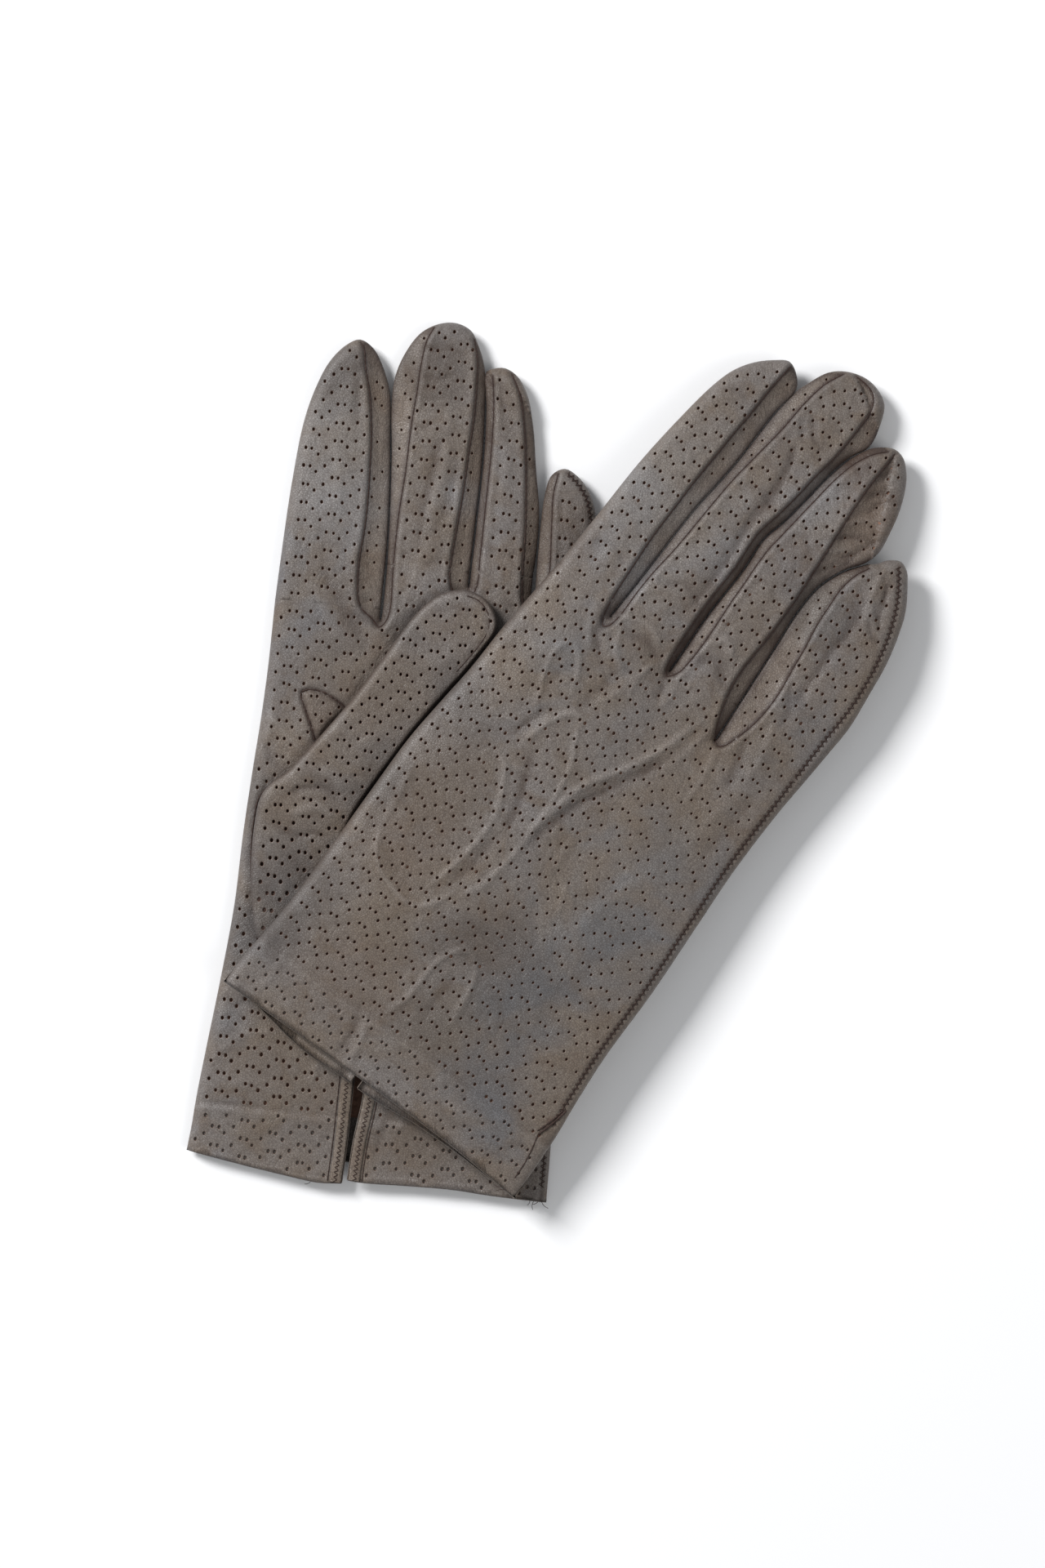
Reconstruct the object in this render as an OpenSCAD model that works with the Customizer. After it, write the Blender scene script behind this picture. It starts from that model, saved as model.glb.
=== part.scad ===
// A pair of wrist-length perforated leather driving gloves, lying flat and crossed.
// The lower glove is the left hand, palm side up, with its thumb folded over the palm.
// The upper glove is the right hand, back side up, lying across it with its thumb tucked below.
// Millimetres. +X runs across the pair, +Y towards the fingertips, +Z up off the table.
// Each glove is drawn in its own frame: y = 0 is the hem, +y runs to the fingertips,
// x = 0 is the middle of the hem and -x is the index finger side.

/* [Leather] */
// thickness of one layer of leather
leather_t = 0.8; // [0.6:0.1:0.9]
// thickness of one glove as it lies flat with air inside
glove_t = 6.4; // [6.4:0.1:7]
// thickness of a thumb pressed flat
thumb_t = 3.4; // [3:0.1:3.4]
// width of the standing side walls and finger strips
side_w = 0.9; // [0.7:0.1:1.2]

/* [Size] */
// width of the hand at the hem
hem_w = 96; // [92:0.5:97]
// depth of the turned hem
hem_depth = 15; // [12:0.5:18]
// how far the back of the lower glove stops short of its palm flaps at the wrist
back_short = 3; // [2:0.5:5]

/* [Wrist slit] */
// length of the slit up the middle of the palm from the hem
slit_len = 45; // [38:1:48]
// width of the slit as it lies
slit_w = 2.4; // [1.6:0.2:3]
// width of the binding along each edge of the slit
welt_w = 3.2; // [2:0.2:4]

/* [Layout] */
// turn of the lower glove from straight up, degrees
left_turn = 5.4; // [4.8:0.1:6]
// turn of the upper glove from straight up, degrees
right_turn = 36; // [35.5:0.1:36.5]
// how far the fingers of the upper glove droop to the table, degrees
finger_droop = 6.4; // [5.5:0.1:6.4]
// running gap between pieces that move past each other
gap = 0.3; // [0.25:0.05:0.4]

/* [Hidden] */
// middle of each hem on the table
left_hem = [-47.8, -109];
right_hem = [-47.3, -84.2];
// centres the whole pair on the origin
pair_shift = [0, -0.6];
// scale of the hand across, from its hem width
ws = hem_w / 96;
// heights of the three layers of the stack
thumb_z = glove_t + gap;
right_z = thumb_z + thumb_t + gap;
// half thickness, where every finger hinge sits
mid = glove_t / 2;
// how far the hand's layer stands back from a finger hinge, on the side the finger folds to
fold_back = mid + 0.4;
// and on the other side
heel_back = 0.8;

leather = [0.44, 0.40, 0.37];
strip = [0.47, 0.40, 0.33];
thread = [0.22, 0.15, 0.13];

// ---- plan outlines, each in its own glove's frame ----

// hand of the lower glove: index side, then the little finger side, both from the hem up
left_in = [[-13, -2.9], [-30, -0.6], [-48.3, 2.4], [-47, 17], [-45.6, 30], [-43.4, 50], [-41.8, 68], [-41.2, 88],
           [-40.2, 106], [-39.4, 118], [-38.8, 132], [-38.6, 150]];
left_out = [[46.3, 149], [46.6, 130], [46.2, 110], [46.2, 90], [46.6, 70], [47, 45],
            [47.4, 25], [48, 12], [48.2, -2.6]];
// hand of the upper glove
right_in = [[-14, -1.9], [-30, -0.9], [-46.6, -0.3], [-46.2, 10], [-45, 25], [-44.7, 43], [-44.8, 61], [-44.8, 80],
            [-43.6, 94], [-42.5, 105], [-41.9, 120], [-41, 130], [-40, 141]];
right_out = [[46.6, 131], [45.9, 122], [45.4, 103], [46.1, 83], [46.8, 64], [46.7, 42],
             [47.6, 28], [48.6, 17], [49.2, -1.6]];
// tops of the two hands: finger roots with the crotches between them
left_top = [[-11, 150], [-11, 147], [-9.4, 147.5], [-9.2, 162], [11.9, 162], [12, 157.5],
            [12.8, 157.5], [12.8, 162], [29, 162], [29, 154], [30.3, 154], [30.3, 149]];
right_top = [[-20.8, 141], [-21, 137.5], [-20.2, 137.5], [-20.1, 139], [0, 139],
             [0.2, 135], [0.9, 135], [0.9, 138], [20.3, 138], [20.5, 127], [21.3, 127],
             [21.3, 131]];

// fingers of the lower glove, anticlockwise from the outer end of the root
left_index = [[-11, 150], [-11, 181], [-12.2, 196], [-13.6, 207], [-16, 214.5],
              [-19, 219], [-22.6, 220.9], [-26, 219.2], [-30, 214.5], [-33, 207.5],
              [-35.4, 198], [-37.2, 180], [-38.2, 160], [-38.6, 150]];
left_middle = [[11.9, 162], [12.2, 176], [12.4, 194], [11.8, 206], [10.9, 216], [9, 222],
               [6.5, 226], [2.5, 227.6], [-2, 227], [-6.5, 224.3], [-9.8, 219.5],
               [-12.3, 212.5], [-12.5, 204], [-11.4, 192], [-10.2, 175], [-9.2, 162]];
left_ring = [[29, 162], [29, 170], [28.5, 180], [27.2, 191], [25.4, 202], [23, 210.5],
             [20, 215], [16.5, 216.9], [13.8, 216.6], [11.9, 215.5], [12.9, 205], [13.4, 194],
             [13.2, 176], [12.8, 162]];
left_little = [[46.3, 150], [46, 165], [44.8, 178], [42, 186], [38.5, 190], [34.8, 191.8],
               [31.5, 189.8], [30.2, 185], [30.2, 170], [30.3, 150]];
// thumb of the lower glove, folded over the palm, and the gusset it grows from
left_thumb = [[-16.4, 92.6], [-5.5, 109], [7, 127.8], [17.6, 143.2], [19.6, 147.5], [19, 151.5],
              [16, 155.6], [11.5, 156.8], [5.5, 155.3], [0, 150.4], [-6.5, 140.4], [-13.6, 128.2],
              [-20.6, 118.2], [-27.2, 109.4], [-32.2, 103.2]];
left_gusset = [[-17.2, 91.6], [-32.8, 102], [-37.2, 97.4], [-38.2, 90], [-38, 78], [-36.8, 68], [-35, 60],
               [-31, 66]];
left_quirk = [[-24, 113.5], [-17.5, 122.5], [-21, 125.8], [-29, 126]];

// fingers of the upper glove
right_index = [[-20.8, 141], [-20.2, 156], [-19.7, 173], [-18, 189], [-17.4, 207],
               [-16.3, 215.6], [-18.8, 219], [-22, 220.4], [-25.5, 218.3], [-29.3, 214.8],
               [-32.5, 210], [-34.6, 203.6], [-36.8, 190], [-38.4, 175], [-39.2, 157],
               [-40, 141]];
right_middle = [[0, 139], [-0.4, 153], [0.1, 168], [-0.3, 178], [1.4, 185], [2.8, 194],
                [3.9, 202], [5.6, 209], [8.1, 214.8], [7.6, 220.5], [5.2, 226], [1.6, 228.2],
                [-3, 228.8], [-8.4, 227.1], [-12, 224], [-14.6, 218.5], [-15.7, 215],
                [-16.6, 206], [-17.2, 189], [-18.8, 172], [-19.3, 156], [-20.1, 139]];
right_ring = [[20.3, 138], [19, 157], [18.3, 167], [18.8, 176], [21.4, 183.4], [25.4, 189],
              [27, 193], [26.2, 200], [25, 205.4], [23, 210.7], [20.8, 214.4], [17.6, 217.4],
              [14.4, 218], [11, 216.2], [9.1, 213.6], [6.5, 208.4], [4.8, 201.4], [3.7, 193.6],
              [2.3, 184.6], [0.7, 178], [1.1, 168], [0.5, 153], [0.9, 138]];
right_little = [[46.6, 131], [47.4, 142], [47.9, 151], [47, 161], [46, 170], [44.2, 178],
                [42, 184.5], [38.7, 190], [36, 193.5], [33.2, 194.7], [30.2, 193],
                [28.4, 190.6], [26.4, 188.4], [22.4, 182.6], [19.8, 175.8], [19.3, 167],
                [20, 157], [21.3, 131]];
right_thumb = [[-9, 62], [-7.5, 80], [-7, 98], [-7.5, 112], [-9.5, 121], [-13, 126.5], [-17.5, 128.4],
               [-22, 126.6], [-25.5, 121], [-27.5, 111], [-30.5, 95], [-35, 78], [-39, 62]];
right_gusset = [[-9, 61], [-41, 61], [-42, 56], [-40, 49], [-34, 43.5], [-26, 42], [-18, 44], [-12, 50]];
right_quirk = [[-39, 110], [-30, 111], [-34, 122]];

// a list of points stretched across by the size of the hand
function wide(p) = [for (q = p) [q[0] * ws, q[1]]];
function is_left(g) = g == 0;
function in_side(g) = is_left(g) ? left_in : right_in;
function out_side(g) = is_left(g) ? left_out : right_out;
function top_line(g) = is_left(g) ? left_top : right_top;
function hand_pts(g) = wide(concat(in_side(g), top_line(g), out_side(g)));
// root heights of the index, middle, ring and little finger
function roots(g) = is_left(g) ? [150, 162, 162, 150] : [141, 139, 138, 131];
// middle of the palm slit
function slit_x(g) = is_left(g) ? -4.2 : -2.8;

// ---- placing ----

// puts a glove where it lies in the pair
module place(g) {
  translate([pair_shift[0], pair_shift[1], 0])
    if (is_left(g)) translate([left_hem[0], left_hem[1], 0]) rotate([0, 0, -left_turn]) children();
    else translate([right_hem[0], right_hem[1], right_z]) rotate([0, 0, -right_turn]) children();
}
// tips a finger of the upper glove down about its own hinge
module droop(g, y) {
  if (is_left(g)) children();
  else translate([0, y, mid]) rotate([-finger_droop, 0, 0]) translate([0, -y, -mid]) children();
}
// the palm layer is on top in the lower glove and underneath in the upper one
function palm_z(g) = is_left(g) ? glove_t - leather_t : 0;
function back_z(g) = is_left(g) ? 0 : glove_t - leather_t;
// the upper side is the one the fingers fold towards, so it stands further back
function stand_back(g, palm) = (palm == is_left(g)) ? fold_back : heel_back;

// ---- hand ----

// cuts the finger roots back so that the fingers can fold
module root_cut(g, s) {
  r = roots(g);
  w = [for (x = is_left(g) ? [-50, -10.2, 12.4, 29.5, 60] : [-50, -20.6, 0.5, 20.9, 60]) x * ws];
  for (i = [0:3]) {
    // a little finger that only spreads sideways needs no more than a thin gap
    sb = (is_left(g) && i == 3) ? 0 : s;
    translate([w[i], r[i] - sb - (is_left(g) && i == 3 ? 1 : 0)]) square([w[i + 1] - w[i], 40]);
  }
}
module hand_layer(g, palm, y0, y1) {
  difference() {
    intersection() {
      polygon(hand_pts(g));
      translate([-60, y0]) square([120, y1 - y0]);
    }
    root_cut(g, stand_back(g, palm));
  }
}
module slit_cut(g, grow) {
  translate([slit_x(g) * ws - slit_w / 2 - grow, -8])
    square([slit_w + 2 * grow, slit_len + 8]);
}
module back_panel(g) {
  color(leather) place(g) translate([0, 0, back_z(g)]) linear_extrude(leather_t)
    hand_layer(g, false, hem_depth, 170);
}
module back_hem(g) {
  color(leather) place(g) translate([0, 0, back_z(g)]) linear_extrude(leather_t)
    hand_layer(g, false, is_left(g) ? back_short : 0, hem_depth);
}
module palm_panel(g) {
  color(leather) place(g) translate([0, 0, palm_z(g)]) linear_extrude(leather_t) difference() {
    hand_layer(g, true, hem_depth, 170);
    slit_cut(g, 0);
    polygon(wide(is_left(g) ? left_quirk : right_quirk));
  }
}
module palm_hem(g) {
  color(leather) place(g) translate([0, 0, palm_z(g)]) linear_extrude(leather_t) difference() {
    hand_layer(g, true, -5, hem_depth);
    slit_cut(g, 0);
  }
}
// standing wall round the hand, between the two layers
module hand_wall(g) {
  translate([0, 0, leather_t]) linear_extrude(glove_t - 2 * leather_t) difference() {
    polygon(hand_pts(g));
    offset(delta = -side_w) polygon(hand_pts(g));
    translate([-60, -10]) square([120, 12.5]);
    root_cut(g, fold_back + 0.2);
    children();
  }
}
module index_side_fold(g) {
  color(leather) place(g) hand_wall(g) translate([-30, -10]) square([100, 200]);
}
module side_seam(g) {
  color(thread) place(g) hand_wall(g) translate([-100, -10]) square([143 * ws, 200]);
}
// small joined ends of the finger strips, standing in the crotch between two fingers
module finger_crotches(g) {
  r = is_left(g) ? [[-10.2, 143.2], [12.4, 153.9], [29.7, 146.6]] : [[-20.6, 133.6], [0.5, 131], [20.9, 123.2]];
  color(strip) place(g) for (p = r)
    translate([p[0] * ws - 1.5, p[1] - 2.6, leather_t]) cube([3, 2.4, glove_t - 2 * leather_t]);
}
module slit_welt(g, s) {
  z = is_left(g) ? glove_t : -0.5;
  color(strip) place(g) translate([slit_x(g) * ws + s * (slit_w / 2 + welt_w / 2) - welt_w / 2, -1, z])
    cube([welt_w, slit_len + 1, 0.5]);
}
module thumb_gusset(g) {
  z = is_left(g) ? glove_t : -1.6;
  color(leather) place(g) translate([0, 0, z]) linear_extrude(1.6)
    polygon(wide(is_left(g) ? left_gusset : right_gusset));
}
module thumb_quirk(g) {
  color(strip) place(g) translate([0, 0, palm_z(g)]) linear_extrude(leather_t)
    offset(delta = -0.05) polygon(wide(is_left(g) ? left_quirk : right_quirk));
}

// ---- fingers ----

function finger_pts(g, i) = wide(is_left(g) ? [left_index, left_middle, left_ring, left_little][i]
                                            : [right_index, right_middle, right_ring, right_little][i]);
module finger_layer(g, i, palm) {
  place(g) droop(g, roots(g)[i]) translate([0, 0, palm ? palm_z(g) : back_z(g)])
    linear_extrude(leather_t) polygon(finger_pts(g, i));
}
// one half of the standing wall round a finger, split along its middle
module finger_wall(g, i, outer) {
  p = finger_pts(g, i);
  n = len(p);
  y0 = roots(g)[i];
  // middle of the root and the farthest point of the tip
  x0 = (p[0][0] + p[n - 1][0]) / 2;
  ym = max([for (q = p) q[1]]);
  x1 = [for (q = p) if (q[1] == ym) q[0]][0];
  k = (x1 - x0) / (ym - y0);
  e = 0.05;
  place(g) droop(g, y0) translate([0, 0, leather_t]) linear_extrude(glove_t - 2 * leather_t) intersection() {
    difference() {
      polygon(p);
      offset(delta = -side_w) polygon(p);
      translate([-60, y0 - 20]) square([120, 21.2]);
    }
    polygon(outer
      ? [[x0 + e, y0], [60, y0], [60, ym + 10], [x1 + 10 * k + e, ym + 10]]
      : [[x0 - e, y0], [-60, y0], [-60, ym + 10], [x1 + 10 * k - e, ym + 10]]);
  }
}
module thumb_layer(g, z, t) {
  place(g) translate([0, 0, z]) linear_extrude(t) polygon(wide(is_left(g) ? left_thumb : right_thumb));
}
// upper layer of a thumb
module thumb_outer(g) {
  z = is_left(g) ? thumb_z : -gap - thumb_t;
  color(leather) thumb_layer(g, z + thumb_t - leather_t, leather_t);
}
// lower layer of a thumb with the wall that stands round it
module thumb_inner(g) {
  z = is_left(g) ? thumb_z : -gap - thumb_t;
  color(leather) {
    thumb_layer(g, z, leather_t);
    place(g) translate([0, 0, z + leather_t - 0.01]) linear_extrude(thumb_t - 2 * leather_t + 0.01) difference() {
      polygon(wide(is_left(g) ? left_thumb : right_thumb));
      offset(delta = -side_w) polygon(wide(is_left(g) ? left_thumb : right_thumb));
    }
  }
}

module left_back_panel() { back_panel(0); }
module left_back_hem() { back_hem(0); }
module left_palm_panel() { palm_panel(0); }
module left_palm_hem() { palm_hem(0); }
module left_index_side_fold() { index_side_fold(0); }
module left_side_seam() { side_seam(0); }
module left_finger_crotches() { finger_crotches(0); }
module left_slit_welt_inner() { slit_welt(0, -1); }
module left_slit_welt_outer() { slit_welt(0, 1); }
module left_thumb_gusset() { thumb_gusset(0); }
module left_thumb_quirk() { thumb_quirk(0); }
module left_index_back() { color(leather) finger_layer(0, 0, false); }
module left_index_palm() { color(leather) finger_layer(0, 0, true); }
module left_index_outer_fold() { color(leather) finger_wall(0, 0, false); }
module left_index_fourchette() { color(strip) finger_wall(0, 0, true); }
module left_middle_back() { color(leather) finger_layer(0, 1, false); }
module left_middle_palm() { color(leather) finger_layer(0, 1, true); }
module left_middle_fourchette_inner() { color(strip) finger_wall(0, 1, false); }
module left_middle_fourchette_outer() { color(strip) finger_wall(0, 1, true); }
module left_ring_back() { color(leather) finger_layer(0, 2, false); }
module left_ring_palm() { color(leather) finger_layer(0, 2, true); }
module left_ring_fourchette_inner() { color(strip) finger_wall(0, 2, false); }
module left_ring_fourchette_outer() { color(strip) finger_wall(0, 2, true); }
module left_little_back() { color(leather) finger_layer(0, 3, false); }
module left_little_palm() { color(leather) finger_layer(0, 3, true); }
module left_little_fourchette() { color(strip) finger_wall(0, 3, false); }
module left_little_side_seam() { color(thread) finger_wall(0, 3, true); }
module left_thumb_outer() { thumb_outer(0); }
module left_thumb_inner() { thumb_inner(0); }

module right_back_panel() { back_panel(1); }
module right_back_hem() { back_hem(1); }
module right_palm_panel() { palm_panel(1); }
module right_palm_hem() { palm_hem(1); }
module right_index_side_fold() { index_side_fold(1); }
module right_side_seam() { side_seam(1); }
module right_finger_crotches() { finger_crotches(1); }
module right_slit_welt_inner() { slit_welt(1, -1); }
module right_slit_welt_outer() { slit_welt(1, 1); }
module right_thumb_gusset() { thumb_gusset(1); }
module right_thumb_quirk() { thumb_quirk(1); }
module right_index_back() { color(leather) finger_layer(1, 0, false); }
module right_index_palm() { color(leather) finger_layer(1, 0, true); }
module right_index_outer_fold() { color(leather) finger_wall(1, 0, false); }
module right_index_fourchette() { color(strip) finger_wall(1, 0, true); }
module right_middle_back() { color(leather) finger_layer(1, 1, false); }
module right_middle_palm() { color(leather) finger_layer(1, 1, true); }
module right_middle_fourchette_inner() { color(strip) finger_wall(1, 1, false); }
module right_middle_fourchette_outer() { color(strip) finger_wall(1, 1, true); }
module right_ring_back() { color(leather) finger_layer(1, 2, false); }
module right_ring_palm() { color(leather) finger_layer(1, 2, true); }
module right_ring_fourchette_inner() { color(strip) finger_wall(1, 2, false); }
module right_ring_fourchette_outer() { color(strip) finger_wall(1, 2, true); }
module right_little_back() { color(leather) finger_layer(1, 3, false); }
module right_little_palm() { color(leather) finger_layer(1, 3, true); }
module right_little_fourchette() { color(strip) finger_wall(1, 3, false); }
module right_little_side_seam() { color(thread) finger_wall(1, 3, true); }
module right_thumb_outer() { thumb_outer(1); }
module right_thumb_inner() { thumb_inner(1); }

left_back_panel();
left_back_hem();
left_palm_panel();
left_palm_hem();
left_index_side_fold();
left_side_seam();
left_finger_crotches();
left_slit_welt_inner();
left_slit_welt_outer();
left_thumb_gusset();
left_thumb_quirk();
left_index_back();
left_index_palm();
left_index_outer_fold();
left_index_fourchette();
left_middle_back();
left_middle_palm();
left_middle_fourchette_inner();
left_middle_fourchette_outer();
left_ring_back();
left_ring_palm();
left_ring_fourchette_inner();
left_ring_fourchette_outer();
left_little_back();
left_little_palm();
left_little_fourchette();
left_little_side_seam();
left_thumb_outer();
left_thumb_inner();
right_back_panel();
right_back_hem();
right_palm_panel();
right_palm_hem();
right_index_side_fold();
right_side_seam();
right_finger_crotches();
right_slit_welt_inner();
right_slit_welt_outer();
right_thumb_gusset();
right_thumb_quirk();
right_index_back();
right_index_palm();
right_index_outer_fold();
right_index_fourchette();
right_middle_back();
right_middle_palm();
right_middle_fourchette_inner();
right_middle_fourchette_outer();
right_ring_back();
right_ring_palm();
right_ring_fourchette_inner();
right_ring_fourchette_outer();
right_little_back();
right_little_palm();
right_little_fourchette();
right_little_side_seam();
right_thumb_outer();
right_thumb_inner();
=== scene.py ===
# A pair of perforated leather driving gloves, lying flat and crossed: the visual model.
import math
import random

import bmesh
import bpy
import numpy as np
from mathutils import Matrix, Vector, geometry, kdtree, noise


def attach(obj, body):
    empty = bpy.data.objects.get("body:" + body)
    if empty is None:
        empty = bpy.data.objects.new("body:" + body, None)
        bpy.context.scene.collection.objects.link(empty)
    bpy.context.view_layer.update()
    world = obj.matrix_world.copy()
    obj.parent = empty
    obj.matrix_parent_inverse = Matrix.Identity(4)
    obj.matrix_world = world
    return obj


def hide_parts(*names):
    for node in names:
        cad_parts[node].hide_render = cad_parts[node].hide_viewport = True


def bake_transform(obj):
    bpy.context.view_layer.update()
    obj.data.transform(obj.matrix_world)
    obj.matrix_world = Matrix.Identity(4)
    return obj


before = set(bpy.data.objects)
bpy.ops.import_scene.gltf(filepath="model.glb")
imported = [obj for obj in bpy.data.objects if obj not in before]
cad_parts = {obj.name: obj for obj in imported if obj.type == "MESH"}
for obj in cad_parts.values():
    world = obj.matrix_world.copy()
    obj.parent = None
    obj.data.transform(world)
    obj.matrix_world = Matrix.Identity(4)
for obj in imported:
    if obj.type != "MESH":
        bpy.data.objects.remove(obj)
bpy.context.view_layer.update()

MM = 0.001
LEFT, RIGHT = 0, 1
NAME = ("left_", "right_")
FINGERS = ("index", "middle", "ring", "little")
TURN = (math.radians(5.4), math.radians(36.0))
HEM = ((-47.8, -109.6), (-47.3, -84.8))
T = 6.4
MIDZ = T / 2
THUMB_T = 3.4
THUMB_Z = T + 0.3
RIGHT_Z = THUMB_Z + THUMB_T + 0.3
DROOP = math.tan(math.radians(6.4))
ROOTS = ((150.0, 162.0, 162.0, 150.0), (141.0, 139.0, 138.0, 131.0))
HEM_DEPTH = 14.6


# ---------------------------------------------------------------- frames

def axes(g):
    a = TURN[g]
    return (math.cos(a), -math.sin(a)), (math.sin(a), math.cos(a))


def to_world(g, x, y):
    v, u = axes(g)
    return HEM[g][0] + x * v[0] + y * u[0], HEM[g][1] + x * v[1] + y * u[1]


def to_local(g, wx, wy):
    v, u = axes(g)
    dx, dy = wx - HEM[g][0], wy - HEM[g][1]
    return dx * v[0] + dy * v[1], dx * u[0] + dy * u[1]


def smooth(t):
    t = np.clip(t, 0.0, 1.0)
    return t * t * (3 - 2 * t)


# ---------------------------------------------------------------- plan outlines, mm

SIDE_IN = (
    [(-48.3, 2.4), (-47.6, 9), (-47, 17), (-45.6, 30), (-43.4, 50), (-41.8, 68), (-41.2, 88),
     (-40.2, 106), (-39.4, 118), (-38.8, 132), (-38.6, 150)],
    [(-46.6, -0.3), (-46.2, 10), (-45, 25), (-44.7, 43), (-44.8, 61), (-44.8, 80), (-43.6, 94),
     (-42.5, 105), (-41.9, 120), (-41, 130), (-40, 141)])
SIDE_OUT = (
    [(46.3, 150), (46.6, 130), (46.2, 110), (46.2, 90), (46.6, 70), (47, 45), (47.4, 25), (48, 12), (48.2, -2.6)],
    [(46.6, 131), (45.9, 122), (45.4, 103), (46.1, 83), (46.8, 64), (46.7, 42), (47.6, 28), (48.6, 17),
     (49.2, -1.6)])
# crotches between the fingers, each from one finger root down and up to the next
CROTCH = (
    [[(-11, 150), (-10.9, 148), (-10.2, 147), (-9.5, 147.6), (-9.3, 150), (-9.2, 162)],
     [(11.9, 162), (12.0, 159), (12.35, 157.8), (12.7, 159), (12.8, 162)],
     [(29, 162), (29.1, 156.5), (29.6, 154), (30.1, 152.5), (30.3, 150)]],
    [[(-20.8, 141), (-20.9, 138.6), (-20.6, 137.6), (-20.3, 138), (-20.1, 139)],
     [(0, 139), (0.2, 136.2), (0.55, 135.1), (0.8, 136), (0.9, 138)],
     [(20.3, 138), (20.5, 131), (20.9, 127.3), (21.2, 128.5), (21.3, 131)]])
FINGER = (
    [[(-11, 150), (-10.8, 165), (-11, 181), (-12.2, 196), (-13.6, 207), (-16, 214.5), (-19, 219), (-22.6, 220.9),
      (-26, 219.2), (-30, 214.5), (-33, 207.5), (-35.4, 198), (-37.2, 180), (-38.2, 160), (-38.6, 150)],
     [(11.9, 162), (12.2, 176), (12.4, 194), (11.8, 206), (10.9, 216), (9, 222), (6.5, 226), (2.5, 227.6),
      (-2, 227), (-6.5, 224.3), (-9.8, 219.5), (-12.3, 212.5), (-12.5, 204), (-11.4, 192), (-10.2, 175),
      (-9.2, 162)],
     [(29, 162), (29, 170), (28.5, 180), (27.2, 191), (25.4, 202), (23, 210.5), (20, 215), (16.5, 216.9),
      (13.8, 216.6), (11.9, 215.5), (12.9, 205), (13.4, 194), (13.2, 176), (12.8, 162)],
     [(46.3, 150), (46, 165), (44.8, 178), (42, 186), (38.5, 190), (34.8, 191.8), (31.5, 189.8), (30.2, 185),
      (30.2, 170), (30.3, 150)]],
    [[(-20.8, 141), (-20.2, 156), (-19.7, 173), (-18, 189), (-17.4, 207), (-16.3, 215.6), (-18.8, 219),
      (-22, 220.4), (-25.5, 218.3), (-29.3, 214.8), (-32.5, 210), (-34.6, 203.6), (-36.8, 190), (-38.4, 175),
      (-39.2, 157), (-40, 141)],
     [(0, 139), (-0.4, 153), (0.1, 168), (-0.3, 178), (1.4, 185), (2.8, 194), (3.9, 202), (5.6, 209),
      (8.1, 214.8), (7.6, 220.5), (5.2, 226), (1.6, 228.2), (-3, 228.8), (-8.4, 227.1), (-12, 224),
      (-14.6, 218.5), (-15.7, 215), (-16.6, 206), (-17.2, 189), (-18.8, 172), (-19.3, 156), (-20.1, 139)],
     [(20.3, 138), (19, 157), (18.3, 167), (18.8, 176), (21.4, 183.4), (25.4, 189), (27, 193), (26.2, 200),
      (25, 205.4), (23, 210.7), (20.8, 214.4), (17.6, 217.4), (14.4, 218), (11, 216.2), (9.1, 213.6),
      (6.5, 208.4), (4.8, 201.4), (3.7, 193.6), (2.3, 184.6), (0.7, 178), (1.1, 168), (0.5, 153), (0.9, 138)],
     [(46.6, 131), (47.4, 142), (47.9, 151), (47, 161), (46, 170), (44.2, 178), (42, 184.5), (38.7, 190),
      (36, 193.5), (33.2, 194.7), (30.2, 193), (28.4, 190.6), (26.4, 188.4), (22.4, 182.6), (19.8, 175.8),
      (19.3, 167), (20, 157), (21.3, 131)]])
HEM_PALM = (
    [(-48.3, 2.4), (-40, 1.0), (-30, -0.6), (-21, -1.9), (-13, -2.9), (-6.5, -2.6)],
    [(-46.6, -0.3), (-37, -0.4), (-31, -1.2), (-23, -2.5), (-14, -2.9), (-8, -2.5), (-4.0, -2.6)])
HEM_PALM2 = (
    [(-4.9, -1.6), (-1.5, -1.9), (12, -1.6), (23, -1.5), (33, -2.1), (48.2, -2.6)],
    [(-1.4, -2.6), (3, -2.5), (9, -2.0), (16, -1.2), (28, -1.0), (40, -1.3), (49.2, -1.6)])
SLIT = (
    [(-6.5, -2.6), (-6.0, 8), (-5.8, 20), (-5.5, 34), (-4.9, 42), (-4.1, 45), (-3.4, 42), (-2.8, 34), (-2.7, 22),
     (-4.3, 8.5), (-4.9, -1.6)],
    [(-4.0, -2.6), (-4.0, 20), (-3.8, 38), (-2.8, 45), (-1.8, 38), (-1.6, 20), (-1.4, -2.6)])
HEM_BACK = ([(-47.8, 3.4), (0, 3.0), (48.0, 3.0)], [(-46.6, 0.0), (0, 0.1), (49.2, 0.0)])


def narrow(left_edge, right_edge, to=0.44):
    """Moves two facing outlines towards each other until they are to mm apart, where they are closer than 2.2."""
    def dense(line):
        line = np.asarray(line, float)
        out = []
        for a, b in zip(line[:-1], line[1:]):
            n = max(1, int(np.hypot(*(b - a)) / 0.25))
            out += [a + (b - a) * i / n for i in range(n)]
        return np.array(out + [line[-1]])
    L, R = dense(left_edge), dense(right_edge)

    def moved(p, other):
        d = other - np.asarray(p, float)
        r = np.hypot(d[:, 0], d[:, 1])
        i = int(np.argmin(r))
        gap = float(r[i])
        if gap <= to or gap >= 2.2:
            return (float(p[0]), float(p[1]))
        w = min(1.0, (2.2 - gap) / 0.6)
        q = np.asarray(p, float) + d[i] / gap * (gap - to) / 2 * w
        return (float(q[0]), float(q[1]))
    return [moved(p, R) for p in left_edge], [moved(p, L) for p in right_edge]


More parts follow.
